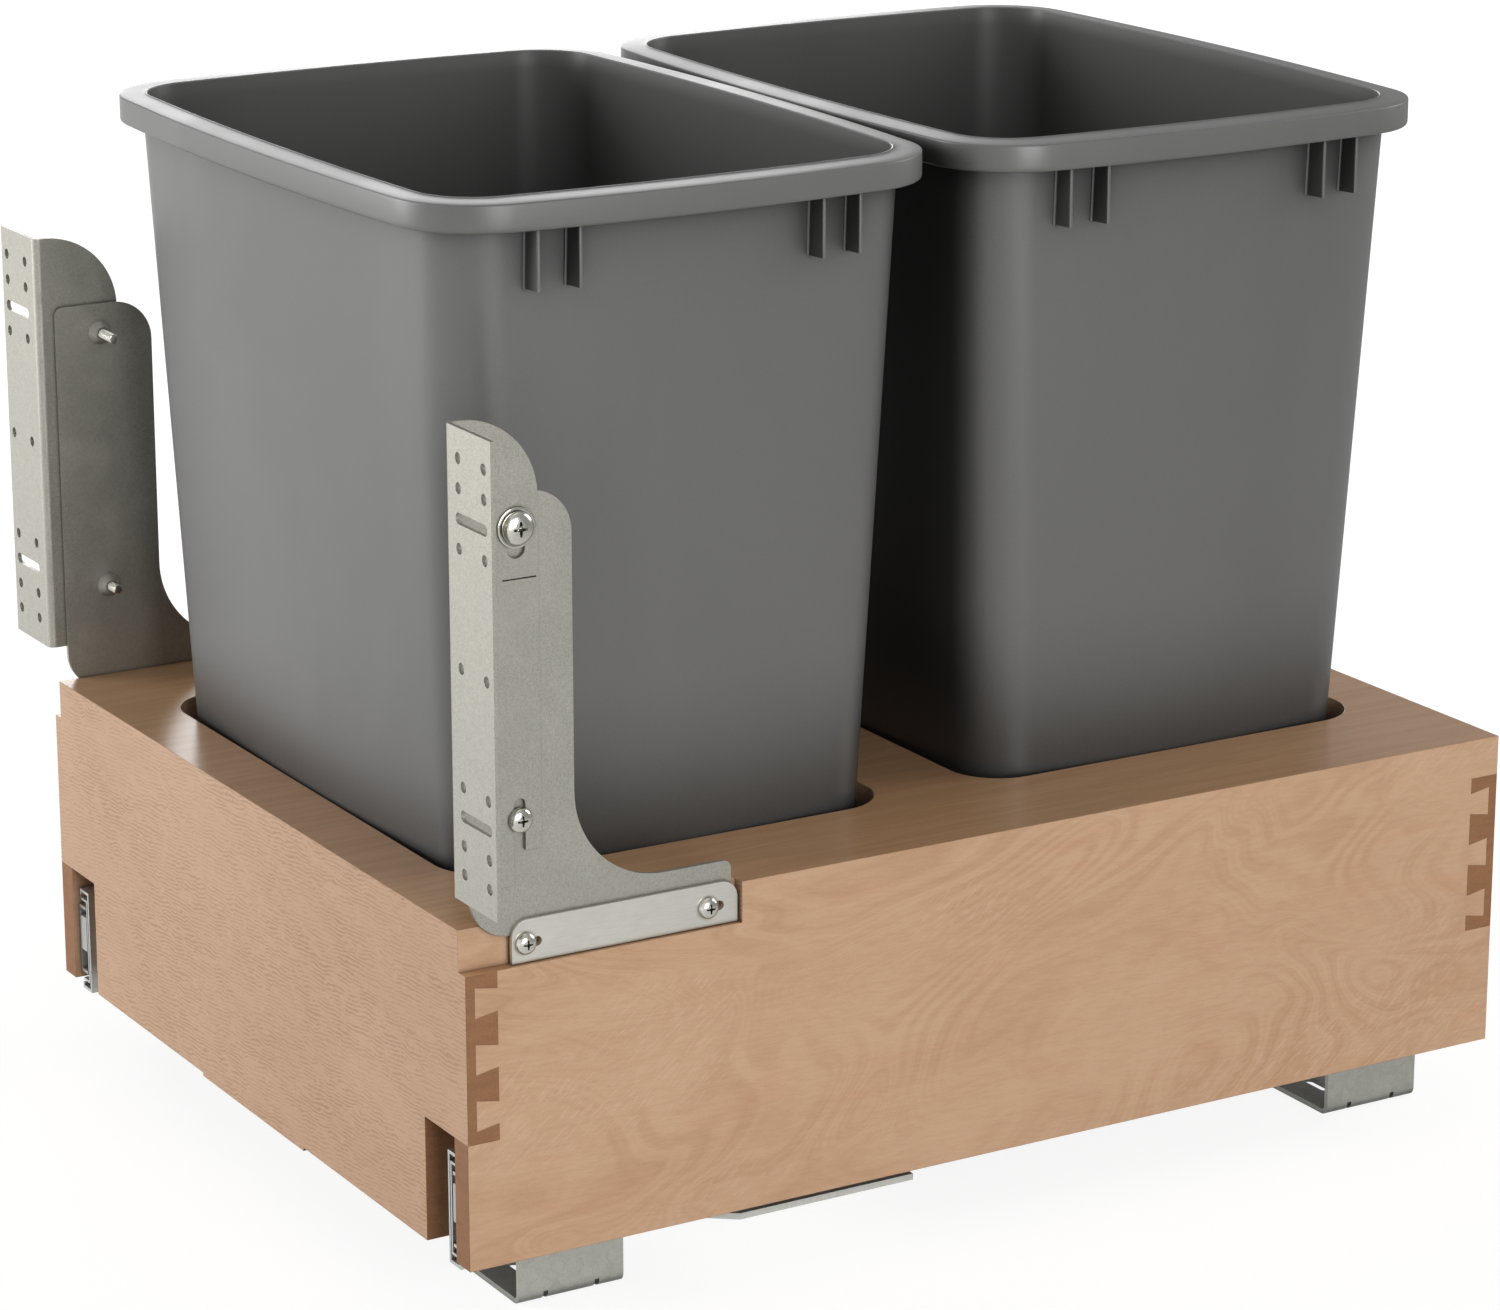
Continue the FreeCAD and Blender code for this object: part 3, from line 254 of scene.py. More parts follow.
@dataclass(frozen=True)
class BoardFinish:
    """Lacquered pale veneer, with its own figure on the side, front and top faces, and darker end grain."""

    name: str
    end_grain: Grain | None
    light: Tint = Tint(207, 170, 138)
    dark: Tint = Tint(172, 128, 93)
    ember: Tint = Tint(201, 146, 110)
    top_light: Tint = Tint(196, 154, 116)
    top_dark: Tint = Tint(187, 145, 107)
    end: Tint = Tint(152, 108, 74)
    # reach, in metres, and depth of the painted shade that darkens the wood in corners, crevices and under fittings
    painted_shade_reach: float = 3.0 * MM
    painted_shade_depth: float = 0.5
    edge: float = 0.5 * MM
    seam: float = 170.0 * MM
    curl_rate: float = 3100.0
    curl_tilt: float = 5.0
    broad_rate: float = 150.0
    fine_rate: float = 520.0
    ray_tilt: float = -38.0
    ray_tint: tuple[float, float, float, float] = (0.76, 0.52, 0.38, 1.0)
    ray_share: float = 0.25
    speckle_share: float = 0.05
    rough: float = 0.42
    top_polish: float = 0.16
    end_rough: float = 0.2
    gloss: float = 0.34
    top_gloss_loss: float = 0.12
    relief_deep: float = 0.00006
    relief_share: float = 0.7

    def curls(self, desk: NodeDesk) -> Socket:
        """Draws the fine curly lines of the end boards.

        Args:
            desk: Desk of the material.

        Returns:
            Share of the dark colour.
        """
        height = desk.add("SeparateXYZ", None, {0: desk.slanted(self.curl_tilt, (1.0, 1.0, 1.0))}).outputs[2]
        bend = desk.times(desk.noise((75.0, 75.0, 120.0), 2.0, 0.5, 0.4), 17.0)
        waves = desk.sum_of("SINE", desk.times_plus(height, self.curl_rate, bend))
        broken = desk.levels(desk.noise((90.0, 90.0, 230.0), 2.0, 0.6, 0.6), 0.3, 0.56)
        crowd = desk.levels(desk.noise((16.0, 16.0, 30.0), 2.0, 0.6, 0.8), 0.34, 0.62, 0.45, 1.0)
        lines = desk.times(desk.levels(waves, -0.7, 1.0), desk.times(broken, crowd))
        patches = desk.levels(desk.noise((8.0, 8.0, 14.0), 3.0, 0.55, 0.6), 0.3, 0.7)
        return desk.times_plus(lines, 0.6, desk.times(patches, 0.2))

    def contours(self, desk: NodeDesk) -> Socket:
        """Draws the flowing lines of the side boards.

        Args:
            desk: Desk of the material.

        Returns:
            Share of the dark colour.
        """
        hills = desk.noise((0.0, 4.2, 9.5), 2.0, 0.45, 0.7)
        broad = desk.levels(desk.sum_of("SINE", desk.times(hills, self.broad_rate)), -0.8, 1.0)
        fine = desk.levels(desk.sum_of("SINE", desk.times(hills, self.fine_rate)), -0.6, 1.0)
        shown = desk.levels(desk.noise((0.0, 9.0, 20.0), 2.0, 0.5, 0.4), 0.36, 0.62, 0.1, 1.0)
        faint = desk.levels(desk.noise((0.0, 14.0, 24.0), 2.0, 0.5, 0.4), 0.36, 0.62, 0.1, 1.0)
        clouds = desk.levels(desk.noise((0.0, 9.0, 26.0), 3.0, 0.6, 0.5), 0.3, 0.7)
        fibres = desk.levels(desk.noise((0.0, 70.0, 520.0), 2.0, 0.6, 0.9), 0.38, 0.66)
        drawn = desk.times_plus(desk.times(broad, shown), 0.2, desk.times(desk.times(fine, faint), 0.09))
        return desk.sum_of("ADD", drawn, desk.times_plus(clouds, 0.16, desk.times(fibres, 0.12)))

    def scratches(self, desk: NodeDesk) -> Socket:
        """Draws pale rays, slanted across the side boards in patches.

        Args:
            desk: Desk of the material.

        Returns:
            Share of the rays' colour.
        """
        place = desk.slanted(self.ray_tilt, (0.0, 105.0, 900.0))
        rays = desk.add("TexNoise", None, {"Vector": place, "Scale": 1.0, "Detail": 1.0,
                                           "Roughness": 0.5, "Distortion": 0.3}).outputs[0]
        where = desk.levels(desk.noise((0.0, 7.0, 15.0), 1.0, 0.5, 0.0), 0.46, 0.66)
        return desk.times(desk.levels(rays, 0.52, 0.66), where)

    def make(self) -> Material:
        """Builds the material.

        Returns:
            The material.
        """
        desk = NodeDesk(bpy.data.materials.new(self.name))
        faces = desk.add("SeparateXYZ", None, {0: desk.place.outputs["Normal"]}).outputs
        toward = [desk.levels(desk.sum_of("ABSOLUTE", face), 0.55, 0.8) for face in faces]
        light, dark = self.light.scene_value(), self.dark.scene_value()
        curls, contours, scratches = self.curls(desk), self.contours(desk), self.scratches(desk)
        speckle = desk.levels(desk.noise((1300.0, 1300.0, 1300.0), 1.0, 0.5), 0.3, 0.7)
        front = desk.blend(curls, light, dark)
        warm = desk.levels(desk.noise((0.0, 16.0, 48.0), 2.0, 0.5, 1.2), 0.56, 0.76, 0.0, 0.25)
        side = desk.blend(warm, desk.blend(contours, light, dark), self.ember.scene_value())
        side = desk.blend(desk.times(scratches, self.ray_share), side, self.ray_tint)
        colour = desk.blend(toward[0], front, side)
        streaks = desk.levels(desk.noise((160.0, 12.0, 12.0), 3.0, 0.6, 0.8), 0.35, 0.65)
        top = desk.blend(streaks, self.top_light.scene_value(), self.top_dark.scene_value())
        colour = desk.shaded(desk.blend(toward[2], colour, top), speckle, self.speckle_share)
        rough = desk.sum_of("SUBTRACT", self.rough, desk.times(toward[2], self.top_polish))
        relief = desk.sum_of("SUBTRACT", 1.0, desk.sum_of("ADD", curls, contours))
        if self.end_grain is not None:
            pores = desk.levels(desk.noise((900.0, 900.0, 900.0), 2.0, 0.6), 0.42, 0.72)
            years = desk.levels(desk.noise((60.0, 60.0, 240.0), 2.0, 0.5, 0.5), 0.35, 0.7)
            cut = desk.shaded(desk.shaded(self.end.scene_value(), years, 0.12), pores, 0.16)
            colour = desk.blend(toward[self.end_grain.value], colour, cut)
            rough = desk.times_plus(toward[self.end_grain.value], self.end_rough, rough)
        # painted shade: the colour is darkened where the wood is closed in by nearby surfaces
        colour = desk.shaded(colour, desk.painted_shade_mask(self.painted_shade_reach), self.painted_shade_depth)
        relief = desk.times(relief, desk.sum_of("SUBTRACT", 1.0, toward[2]))
        height = desk.add("SeparateXYZ", None, {0: desk.place.outputs["Object"]}).outputs[2]
        off_seam = desk.levels(desk.sum_of("ABSOLUTE", desk.sum_of("SUBTRACT", height, self.seam)),
                               self.edge, 1.6 * self.edge)
        flat = desk.add("NewGeometry").outputs["Normal"]
        facing = desk.add("Mix", {"data_type": "VECTOR"},
                          {0: off_seam, 4: flat, 5: desk.round_edges(self.edge)}).outputs[1]
        gloss = desk.times_plus(toward[2], -self.top_gloss_loss, self.gloss)
        return desk.finish({"Base Color": colour, "Roughness": rough, "Specular IOR Level": gloss,
                            "Normal": desk.raised(relief, self.relief_deep, self.relief_share, facing)})


@dataclass(frozen=True)
class MouldedFinish:
    """Moulded plastic with a fine spark-eroded texture."""

    name: str
    body: Tint
    scuffed: Tint
    rough: float
    texture_pitch: float
    texture_deep: float
    gloss: float = 0.5
    # reach, in metres, and depth of the painted shade that darkens the plastic where it is closed in, such as the
    # bins' walls below the top panel and between the gussets
    painted_shade_reach: float = 8.0 * MM
    painted_shade_depth: float = 0.4
    # painted shade inside the bin: share taken off the colour and off the gloss on the faces marked inside
    inside_painted_shade: float = 0.25
    inside_gloss_shade: float = 0.5
    speckle_share: float = 0.05
    cloud_rough: float = 0.06
    texture_share: float = 0.6

    def make(self) -> Material:
        """Builds the material.

        Returns:
            The material.
        """
        desk = NodeDesk(bpy.data.materials.new(self.name))
        clouds = desk.levels(desk.noise((7.0, 7.0, 3.5), 3.0, 0.55, 0.3), 0.38, 0.68)
        pitch = 1.0 / self.texture_pitch
        sparks = desk.noise((pitch, pitch, pitch), 2.0, 0.6)
        colour = desk.blend(clouds, self.body.scene_value(), self.scuffed.scene_value())
        colour = desk.shaded(colour, desk.levels(sparks, 0.35, 0.7), self.speckle_share)
        rough = desk.times_plus(clouds, self.cloud_rough, self.rough)
        # painted shade: the colour is darkened where the plastic is closed in by nearby surfaces
        colour = desk.shaded(colour, desk.painted_shade_mask(self.painted_shade_reach), self.painted_shade_depth)
        # painted shade: faces inside the bin are darkened and made less glossy
        inside = desk.add("Attribute", {"attribute_name": INSIDE_MARK}).outputs["Fac"]
        colour = desk.shaded(colour, inside, self.inside_painted_shade)
        gloss = desk.times_plus(inside, -self.inside_gloss_shade * self.gloss, self.gloss)
        return desk.finish({"Base Color": colour, "Roughness": rough, "Specular IOR Level": gloss,
                            "Normal": desk.raised(sparks, self.texture_deep, self.texture_share)})


@dataclass(frozen=True)
class PlatedFinish:
    """Rolled steel with a zinc or nickel coat."""

    name: str
    bright: Tint
    dull: Tint
    metal: float
    rough: float
    grain: Triple
    flower_pitch: float
    flower_share: float
    smudge_share: float
    edge: float = 0.18 * MM
    # reach, in metres, and depth of the painted shade that darkens the steel in holes, bends and gaps
    painted_shade_reach: float = 1.8 * MM
    painted_shade_depth: float = 0.6
    smudge_rough: float = 0.12
    flower_rough: float = 0.06
    relief_deep: float = 0.00002
    relief_share: float = 0.5

    def make(self) -> Material:
        """Builds the material.

        Returns:
            The material.
        """
        desk = NodeDesk(bpy.data.materials.new(self.name))
        pitch = 1.0 / self.flower_pitch
        flowers = desk.add("TexVoronoi", None,
                           {"Vector": desk.spot((pitch, pitch, pitch)), "Scale": 1.0}).outputs["Color"]
        shade = desk.add("SeparateXYZ", None, {0: flowers}).outputs[0]
        rolled = desk.noise(self.grain, 2.0, 0.55)
        smudges = desk.levels(desk.noise((38.0, 38.0, 38.0), 4.0, 0.62, 0.5), 0.42, 0.72)
        share = desk.sum_of("ADD", desk.times(shade, self.flower_share),
                            desk.times(desk.levels(rolled, 0.3, 0.7), 1.0 - self.flower_share))
        colour = desk.blend(share, self.bright.scene_value(), self.dull.scene_value())
        # smudges are dirt on the coat; the second darkening is painted shade where the steel is closed in by nearby
        # surfaces
        colour = desk.shaded(desk.shaded(colour, smudges, self.smudge_share), desk.painted_shade_mask(self.painted_shade_reach),
                             self.painted_shade_depth)
        rough = desk.sum_of("ADD", desk.times_plus(smudges, self.smudge_rough, self.rough),
                            desk.times(shade, self.flower_rough))
        facing = desk.raised(rolled, self.relief_deep, self.relief_share, desk.round_edges(self.edge))
        return desk.finish({"Base Color": colour, "Metallic": self.metal, "Roughness": rough, "Normal": facing})


# The last two numbers of BIN_GREY are the reach and depth of its painted shade; the last number of BRACKET_STEEL,
# BRACE_STEEL and SCREW_STEEL is the reach of their painted shade.
BIN_GREY = MouldedFinish("bin_moulded_grey", Tint(105, 105, 104), Tint(99, 99, 98), 0.37, 0.0008, 0.00003,
                         0.6, 85.0 * MM, 0.88)
LATCH_GREY = MouldedFinish("latch_pale_plastic", Tint(196, 199, 197), Tint(182, 185, 183), 0.42, 0.0006, 0.00003)
SIDE_WOOD = BoardFinish("side_board_wood", Grain.ALONG)
FRONT_WOOD = BoardFinish("end_board_wood", Grain.ACROSS)
PANEL_WOOD = BoardFinish("top_panel_wood", None)
SLAT_WOOD = BoardFinish("bottom_slat_wood", None)
BLOCK_WOOD = BoardFinish("corner_block_wood", Grain.UPRIGHT)
BRACKET_STEEL = PlatedFinish("floor_bracket_zinc", Tint(184, 185, 177), Tint(164, 164, 155), 0.7, 0.34,
                             (1500.0, 1500.0, 1500.0), 0.004, 0.4, 0.14, 0.18 * MM, 9.0 * MM)
DOOR_STEEL = PlatedFinish("door_bracket_zinc", Tint(174, 172, 162), Tint(152, 150, 141), 0.75, 0.38,
                          (1500.0, 1500.0, 1500.0), 0.0018, 0.15, 0.04)
BRACE_STEEL = PlatedFinish("brace_zinc", Tint(222, 223, 216), Tint(204, 205, 197), 0.7, 0.32,
                           (1500.0, 1500.0, 1500.0), 0.004, 0.4, 0.1, 0.3 * MM, 14.0 * MM)
SLIDE_STEEL = PlatedFinish("slide_zinc", Tint(204, 205, 202), Tint(188, 189, 186), 0.8, 0.28,
                           (500.0, 30.0, 500.0), 0.005, 0.2, 0.08)
CLAMP_NICKEL = PlatedFinish("clamp_plate_nickel", Tint(216, 214, 205), Tint(208, 206, 197), 0.8, 0.28,
                            (1200.0, 120.0, 1200.0), 0.004, 0.3, 0.03)
SCREW_STEEL = PlatedFinish("screw_bright_zinc", Tint(214, 212, 203), Tint(202, 200, 191), 1.0, 0.14,
                           (700.0, 700.0, 700.0), 0.003, 0.2, 0.06, 0.08 * MM, 1.2 * MM)
RIVET_STEEL = PlatedFinish("rivet_zinc", Tint(178, 177, 170), Tint(150, 149, 143), 0.7, 0.38,
                           (900.0, 900.0, 900.0), 0.002, 0.3, 0.14)
BALL_STEEL = PlatedFinish("ball_polished", Tint(222, 222, 222), Tint(205, 205, 205), 1.0, 0.1,
                          (900.0, 900.0, 900.0), 0.003, 0.1, 0.04, 0.05 * MM)


# ---------------- mesh help


def piece_from(name: str, points: Sequence[Vector], faces: Iterable[Sequence[int]]) -> Piece:
    """Makes a smooth-shaded object of points and faces, with doubled points joined.

    Args:
        name: Name of the object.
        points: Places of its corners, in metres in the unit's frame.
        faces: Indices of each face's corners.

    Returns:
        The object, linked into the scene.
    """
    mesh = bpy.data.meshes.new(name)
    mesh.from_pydata([tuple(p) for p in points], [], [tuple(f) for f in faces])
    work = bmesh.new()
    work.from_mesh(mesh)
    bmesh.ops.remove_doubles(work, verts=work.verts, dist=DOUBLED)
    bmesh.ops.recalc_face_normals(work, faces=work.faces)
    for face in work.faces:
        face.smooth = True
    work.to_mesh(mesh)
    work.free()
    piece = bpy.data.objects.new(name, mesh)
    bpy.context.scene.collection.objects.link(piece)
    return piece


def lofted(rings: Sequence[Sequence[Vector]], closed: bool = False) -> tuple[list[Vector], list[tuple[int, ...]]]:
    """Skins a row of closed rings that have the same number of points.

    Args:
        rings: Rings of points, in order along the skin.
        closed: True to join the last ring to the first one, and otherwise both ends are capped.

    Returns:
        The points and the faces.
    """
    count = len(rings[0])
    points = [point for ring in rings for point in ring]
    faces: list[tuple[int, ...]] = []
    rows = len(rings) if closed else len(rings) - 1
    for row in range(rows):
        low, high = row * count, (row + 1) % len(rings) * count
        faces += [(low + i, low + (i + 1) % count, high + (i + 1) % count, high + i) for i in range(count)]
    if not closed:
        faces.append(tuple(range(count))[::-1])
        faces.append(tuple((len(rings) - 1) * count + i for i in range(count)))
    return points, faces


def turned(profile: Sequence[tuple[float, float]], seat: Vector, sign: int, around: int = 56
           ) -> list[list[Vector]]:
    """Rings of a shape turned about an axis along X.

    Args:
        profile: Distance from the seat and radius of each ring.
        seat: Place of the seat's middle.
        sign: 1 where the shape stands out to +X, and -1 to -X.
        around: Number of points in a ring.

    Returns:
        The rings, for lofted().
    """
    turns = [2 * math.pi * i / around for i in range(around)]
    return [[seat + Vector((sign * out, radius * math.cos(t), radius * math.sin(t))) for t in turns]
            for out, radius in profile]


def threaded(seat: Vector, sign: int, length: float, radius: float, pitch: float) -> list[list[Vector]]:
    """Rings of a shank with a screw thread, from its tip to the seat.

    Args:
        seat: Place of the seat's middle.
        sign: 1 where the head stands out to +X, and -1 to -X.
        length: Length of the shank.
        radius: Radius over the thread's crests.
        pitch: Distance between crests.

    Returns:
        The rings, for lofted().
    """
    around, rows = 20, max(8, int(length / pitch * 6))
    depth, narrow, tip_length, tip_start = 0.13, 2.6, 0.6, 0.86
    rings = []
    for row in range(rows + 1):
        back = length * (1 - row / rows)
        point = min(1.0, (length - back) / (tip_length * pitch) + tip_start)
        ring = []
        for i in range(around):
            share = (back / pitch - i / around) % 1.0
            crest = max(0.0, 1.0 - abs(share - 0.5) * narrow)
            reach = (radius - depth * radius + depth * radius * crest) * point
            turn = 2 * math.pi * i / around
            ring.append(seat + Vector((-sign * back, reach * math.cos(turn), reach * math.sin(turn))))
        rings.append(ring)
    return rings


def cut_away(piece: Piece, tool: Piece) -> None:
    """Takes a tool's shape out of a piece for good, and removes the tool.

    Args:
        piece: The piece.
        tool: The tool.
    """
    change = piece.modifiers.new("cut", "BOOLEAN")
    change.operation, change.solver, change.object = "DIFFERENCE", "EXACT", tool
    bpy.context.view_layer.update()
    whole = piece.evaluated_get(bpy.context.evaluated_depsgraph_get())
    mesh = bpy.data.meshes.new_from_object(whole)
    mesh.name = piece.name
    piece.modifiers.clear()
    piece.data = mesh
    bpy.data.objects.remove(tool)


def crisp(piece: Piece, angle: float = 38.0) -> None:
    """Keeps a piece smooth, with sharp edges where its faces turn sharply.

    Args:
        piece: The piece.
        angle: Turn from which an edge is sharp, in degrees.
    """
    for face in piece.data.polygons:
        face.use_smooth = True
    piece.data.set_sharp_from_angle(angle=math.radians(angle))


def softened(piece: Piece, width: float, segments: int = 2) -> None:
    """Rounds a piece's sharp edges a little, as its tools leave them.

    Args:
        piece: The piece.
        width: Width of the rounding, in metres.
        segments: Number of faces across it.
    """
    joined = piece.modifiers.new("joined", "WELD")
    joined.merge_threshold = WELD
    edge = piece.modifiers.new("edge", "BEVEL")
    edge.width = width
    edge.segments = segments
    edge.limit_method = "ANGLE"
    edge.angle_limit = math.radians(EDGE_ANGLE)
    edge.miter_outer = "MITER_ARC"
    edge.harden_normals = True


def dressed(piece: Piece, material: Material) -> None:
    """Gives a piece its only material."""
    piece.data.materials.clear()
    piece.data.materials.append(material)


def dress_node(name: str, material: Material, edge: float = 0.0) -> None:
    """Gives a CAD node a finish and small edges.

    Args:
        name: Name of the node.
        material: Its finish.
        edge: Width of its rounded edges, in metres.
    """
    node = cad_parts[name]
    for holder in node.material_slots:
        holder.material = material
    if not node.material_slots:
        node.data.materials.append(material)
    if edge:
        softened(node, edge)
    log.info("node %s dressed in %s", name, material.name)


# ---------------- sub-assemblies


@dataclass
class Tray:
    """Wooden tray: dovetailed boards, the top panel with its openings, the bottom slat and the corner blocks."""

    block_edge: float = 0.3 * MM

    def dress(self) -> None:
        """Gives the wooden nodes their grain."""
        side, front = SIDE_WOOD.make(), FRONT_WOOD.make()
        for hand in Side:
            dress_node(hand.name_of("side_board"), side)
        for name in ("front_board", "back_board"):
            dress_node(name, front)
        dress_node("top_panel", PANEL_WOOD.make())
        dress_node("bottom_slat", SLAT_WOOD.make())
        dress_node("corner_blocks", BLOCK_WOOD.make(), self.block_edge)


@dataclass
class SlidePair:
    """Ball bearing slides on both sides of the tray, with their latches and fasteners."""

    latch_edge: float = 0.5 * MM

    def dress(self) -> None:
        """Gives the slides' nodes their zinc, plastic and polished balls."""
        rail, ball = SLIDE_STEEL.make(), BALL_STEEL.make()
        for hand in Side:
            for stem in ("slide_outer", "slide_middle", "slide_inner"):
                dress_node(hand.name_of(stem), rail)
            for stem in ("outer_cage", "inner_cage"):
                dress_node(hand.name_of(stem), ball)
        dress_node("slide_latches", LATCH_GREY.make(), self.latch_edge)
        dress_node("slide_screws", SCREW_STEEL.make())
        rivet = RIVET_STEEL.make()
        dress_node("bracket_rivets", rivet)
        dress_node("brace_rivets", rivet)


@dataclass
class FloorFrame:
    """Four steel brackets on the cabinet's floor and the brace between them."""

    finish: PlatedFinish = BRACKET_STEEL

    def dress(self) -> None:
        """Gives the brackets and the brace their zinc."""
        steel = self.finish.make()
        for hand in Side:
            for stem in ("floor_bracket_front", "floor_bracket_rear"):
                dress_node(hand.name_of(stem), steel)
        dress_node("cross_brace", BRACE_STEEL.make())


@dataclass
class CrossScrew:
    """Screw with a domed head, a cross recess and a thread, its axis along X."""

    name: str
    hand: Side
    seat: Triple
    head: float
    high: float
    shank: float
    length: float
    pitch: float = 0.9 * MM
    straight: float = 0.3
    recess: float = 0.47
    recess_wide: float = 0.07
    recess_notch: float = 1.5
    # rings of the recess: share of the head's height and size of the cross there
    recess_rings: Rows = ((0.3, 0.35), (0.45, 0.62), (1.15, 1.12))
    rim_round: float = 0.25 * MM
    rim_round_middle: float = 0.07 * MM
    dome_steps: int = 12
    dome_power: float = 0.8
    dome_tip: float = 0.01 * MM

    def head_profile(self) -> list[tuple[float, float]]:
        """Draws the head from its underside to the top of its dome.

        Returns:
            Distance from the seat and radius of each ring.
        """
        rim = self.high * self.straight
        rows = [(0.0, self.shank), (0.0, self.head - self.rim_round),
                (self.rim_round_middle, self.head - self.rim_round_middle), (self.rim_round, self.head),
                (rim, self.head)]
        for step in range(1, self.dome_steps + 1):
            turn = math.pi / 2 * step / self.dome_steps
            rows.append((rim + (self.high - rim) * math.sin(turn),
                         max(self.dome_tip, self.head * math.cos(turn) ** self.dome_power)))
        return rows

    def recess_tool(self) -> Piece:
        """Builds the tapered cross that is cut out of the head.

        Returns:
            The cross.
        """
        long, wide = self.head * self.recess, self.head * self.recess_wide
        notch = wide * self.recess_notch
        cross = [(long, wide), (notch, notch), (wide, long), (-wide, long), (-notch, notch), (-long, wide),
                 (-long, -wide), (-notch, -notch), (-wide, -long), (wide, -long), (notch, -notch), (long, -wide)]
        sign = self.hand.value
        middle = Vector(self.seat)
        rings = []
        for out, scale in self.recess_rings:
            rings.append([middle + Vector((sign * (self.high * out), y * scale, z * scale)) for y, z in cross])
        points, faces = lofted(rings)
        return piece_from(f"{self.name}_cross", points, faces)

    def build(self, body: str, nodes: Sequence[str], material: Material) -> None:
        """Builds the screw in place of its CAD node.

        Args:
            body: Body that the screw rides on.
            nodes: CAD nodes that it stands for.
            material: Its finish.
        """
        seat, sign = Vector(self.seat), self.hand.value
        rings = threaded(seat, sign, self.length, self.shank, self.pitch)
        shank_points, shank_faces = lofted(rings)
        head_points, head_faces = lofted(turned(self.head_profile(), seat, sign))
        screw = piece_from(self.name, head_points, head_faces)
        cut_away(screw, self.recess_tool())
        shank = piece_from(f"{self.name}_shank", shank_points, shank_faces)
        for piece in (screw, shank):
            crisp(piece)
            dressed(piece, material)
            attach(piece, body)
            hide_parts(*nodes)
            log.info("piece %s rides on %s", piece.name, body)


@dataclass
class DoorMounts:
    """Brackets, clamp plates and screws that carry the door."""

    hanger_y: float = -257.8 * MM
    low_z: float = 235.0 * MM
    top_z: float = 363.6 * MM
    plate_out: float = 219.75 * MM
    clamp_out: float = 219.85 * MM
    clamp_z: float = 179.05 * MM
    clamp_near: float = -256.0 * MM
    clamp_far: float = -165.5 * MM
    washer_radius: float = 9.0 * MM
    washer_thick: float = 1.2 * MM
    # washer's rings below and above its rim: distance from that face and from the rim, in millimetres
    washer_under: Rows = ((0.0, 0.3), (0.08, 0.08), (0.3, 0.0))
    washer_over: Rows = ((0.45, 0.0), (0.2, 0.12), (0.05, 0.5), (0.1, 1.0), (0.2, 1.7), (0.15, 2.2), (0.0, 2.7))
    bolt_radius: float = 2.5 * MM
    head_gap: float = 0.06 * MM

    def washer(self, hand: Side) -> Piece:
        """Builds the pressed washer under the top screw.

        Args:
            hand: Side of the unit.

        Returns:
            The washer.
        """
        thick, wide, hole = self.washer_thick, self.washer_radius, self.bolt_radius
        profile = [(0.0, hole)] + [(up * MM, wide - less * MM) for up, less in self.washer_under]
        profile += [(thick - down * MM, wide - less * MM) for down, less in self.washer_over] + [(thick, hole)]
        seat = Vector((hand.value * self.plate_out, self.hanger_y, self.top_z))
        points, faces = lofted(turned(profile, seat, hand.value), closed=True)
        piece = piece_from(hand.name_of("pressed_washer"), points, faces)
        crisp(piece)
        return piece

    def screws(self, hand: Side) -> list[tuple[CrossScrew, str, tuple[str, ...]]]:
        """Lists the screws of one side.

        Args:
            hand: Side of the unit.

        Returns:
            Each screw with its body and the nodes that it stands for.
        """
        sign = hand.value
        mount = hand.name_of("door_mount")
        top_seat = (sign * (self.plate_out + self.washer_thick), self.hanger_y, self.top_z)
        low_seat = (sign * (self.plate_out + self.head_gap), self.hanger_y, self.low_z)
        rows = [(CrossScrew(hand.name_of("hanger_screw_top"), hand, top_seat, head=7.3 * MM, high=3.9 * MM,
                            shank=self.bolt_radius, length=22.9 * MM), mount, (hand.name_of("top_screw"),)),
                (CrossScrew(hand.name_of("hanger_screw_low"), hand, low_seat, head=5.5 * MM, high=3.4 * MM,
                            shank=self.bolt_radius, length=15.0 * MM), mount, (hand.name_of("low_screw"),))]
        for name, y in (("near", self.clamp_near), ("far", self.clamp_far)):
            seat = (sign * self.clamp_out, y, self.clamp_z)
            rows.append((CrossScrew(hand.name_of(f"clamp_screw_{name}"), hand, seat, head=5.0 * MM, high=3.2 * MM,
                                    shank=2.0 * MM, length=16.1 * MM, pitch=1.4 * MM, straight=0.12),
                         "tray", ("clamp_screws",)))
        return rows

    def dress(self) -> None:
        """Gives the door brackets' nodes their zinc and nickel, and builds the washers and screws."""
        steel, nickel, screw = DOOR_STEEL.make(), CLAMP_NICKEL.make(), SCREW_STEEL.make()
        for hand in Side:
            for stem in ("base_bracket", "door_plate"):
                dress_node(hand.name_of(stem), steel)
            dress_node(hand.name_of("clamp_plate"), nickel)
            washer = self.washer(hand)
            dressed(washer, screw)
            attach(washer, hand.name_of("door_mount"))
            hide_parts(hand.name_of("hanger_washer"))
            log.info("piece %s rides on %s", washer.name, hand.name_of("door_mount"))
            for one, body, nodes in self.screws(hand):
                one.build(body, nodes, screw)


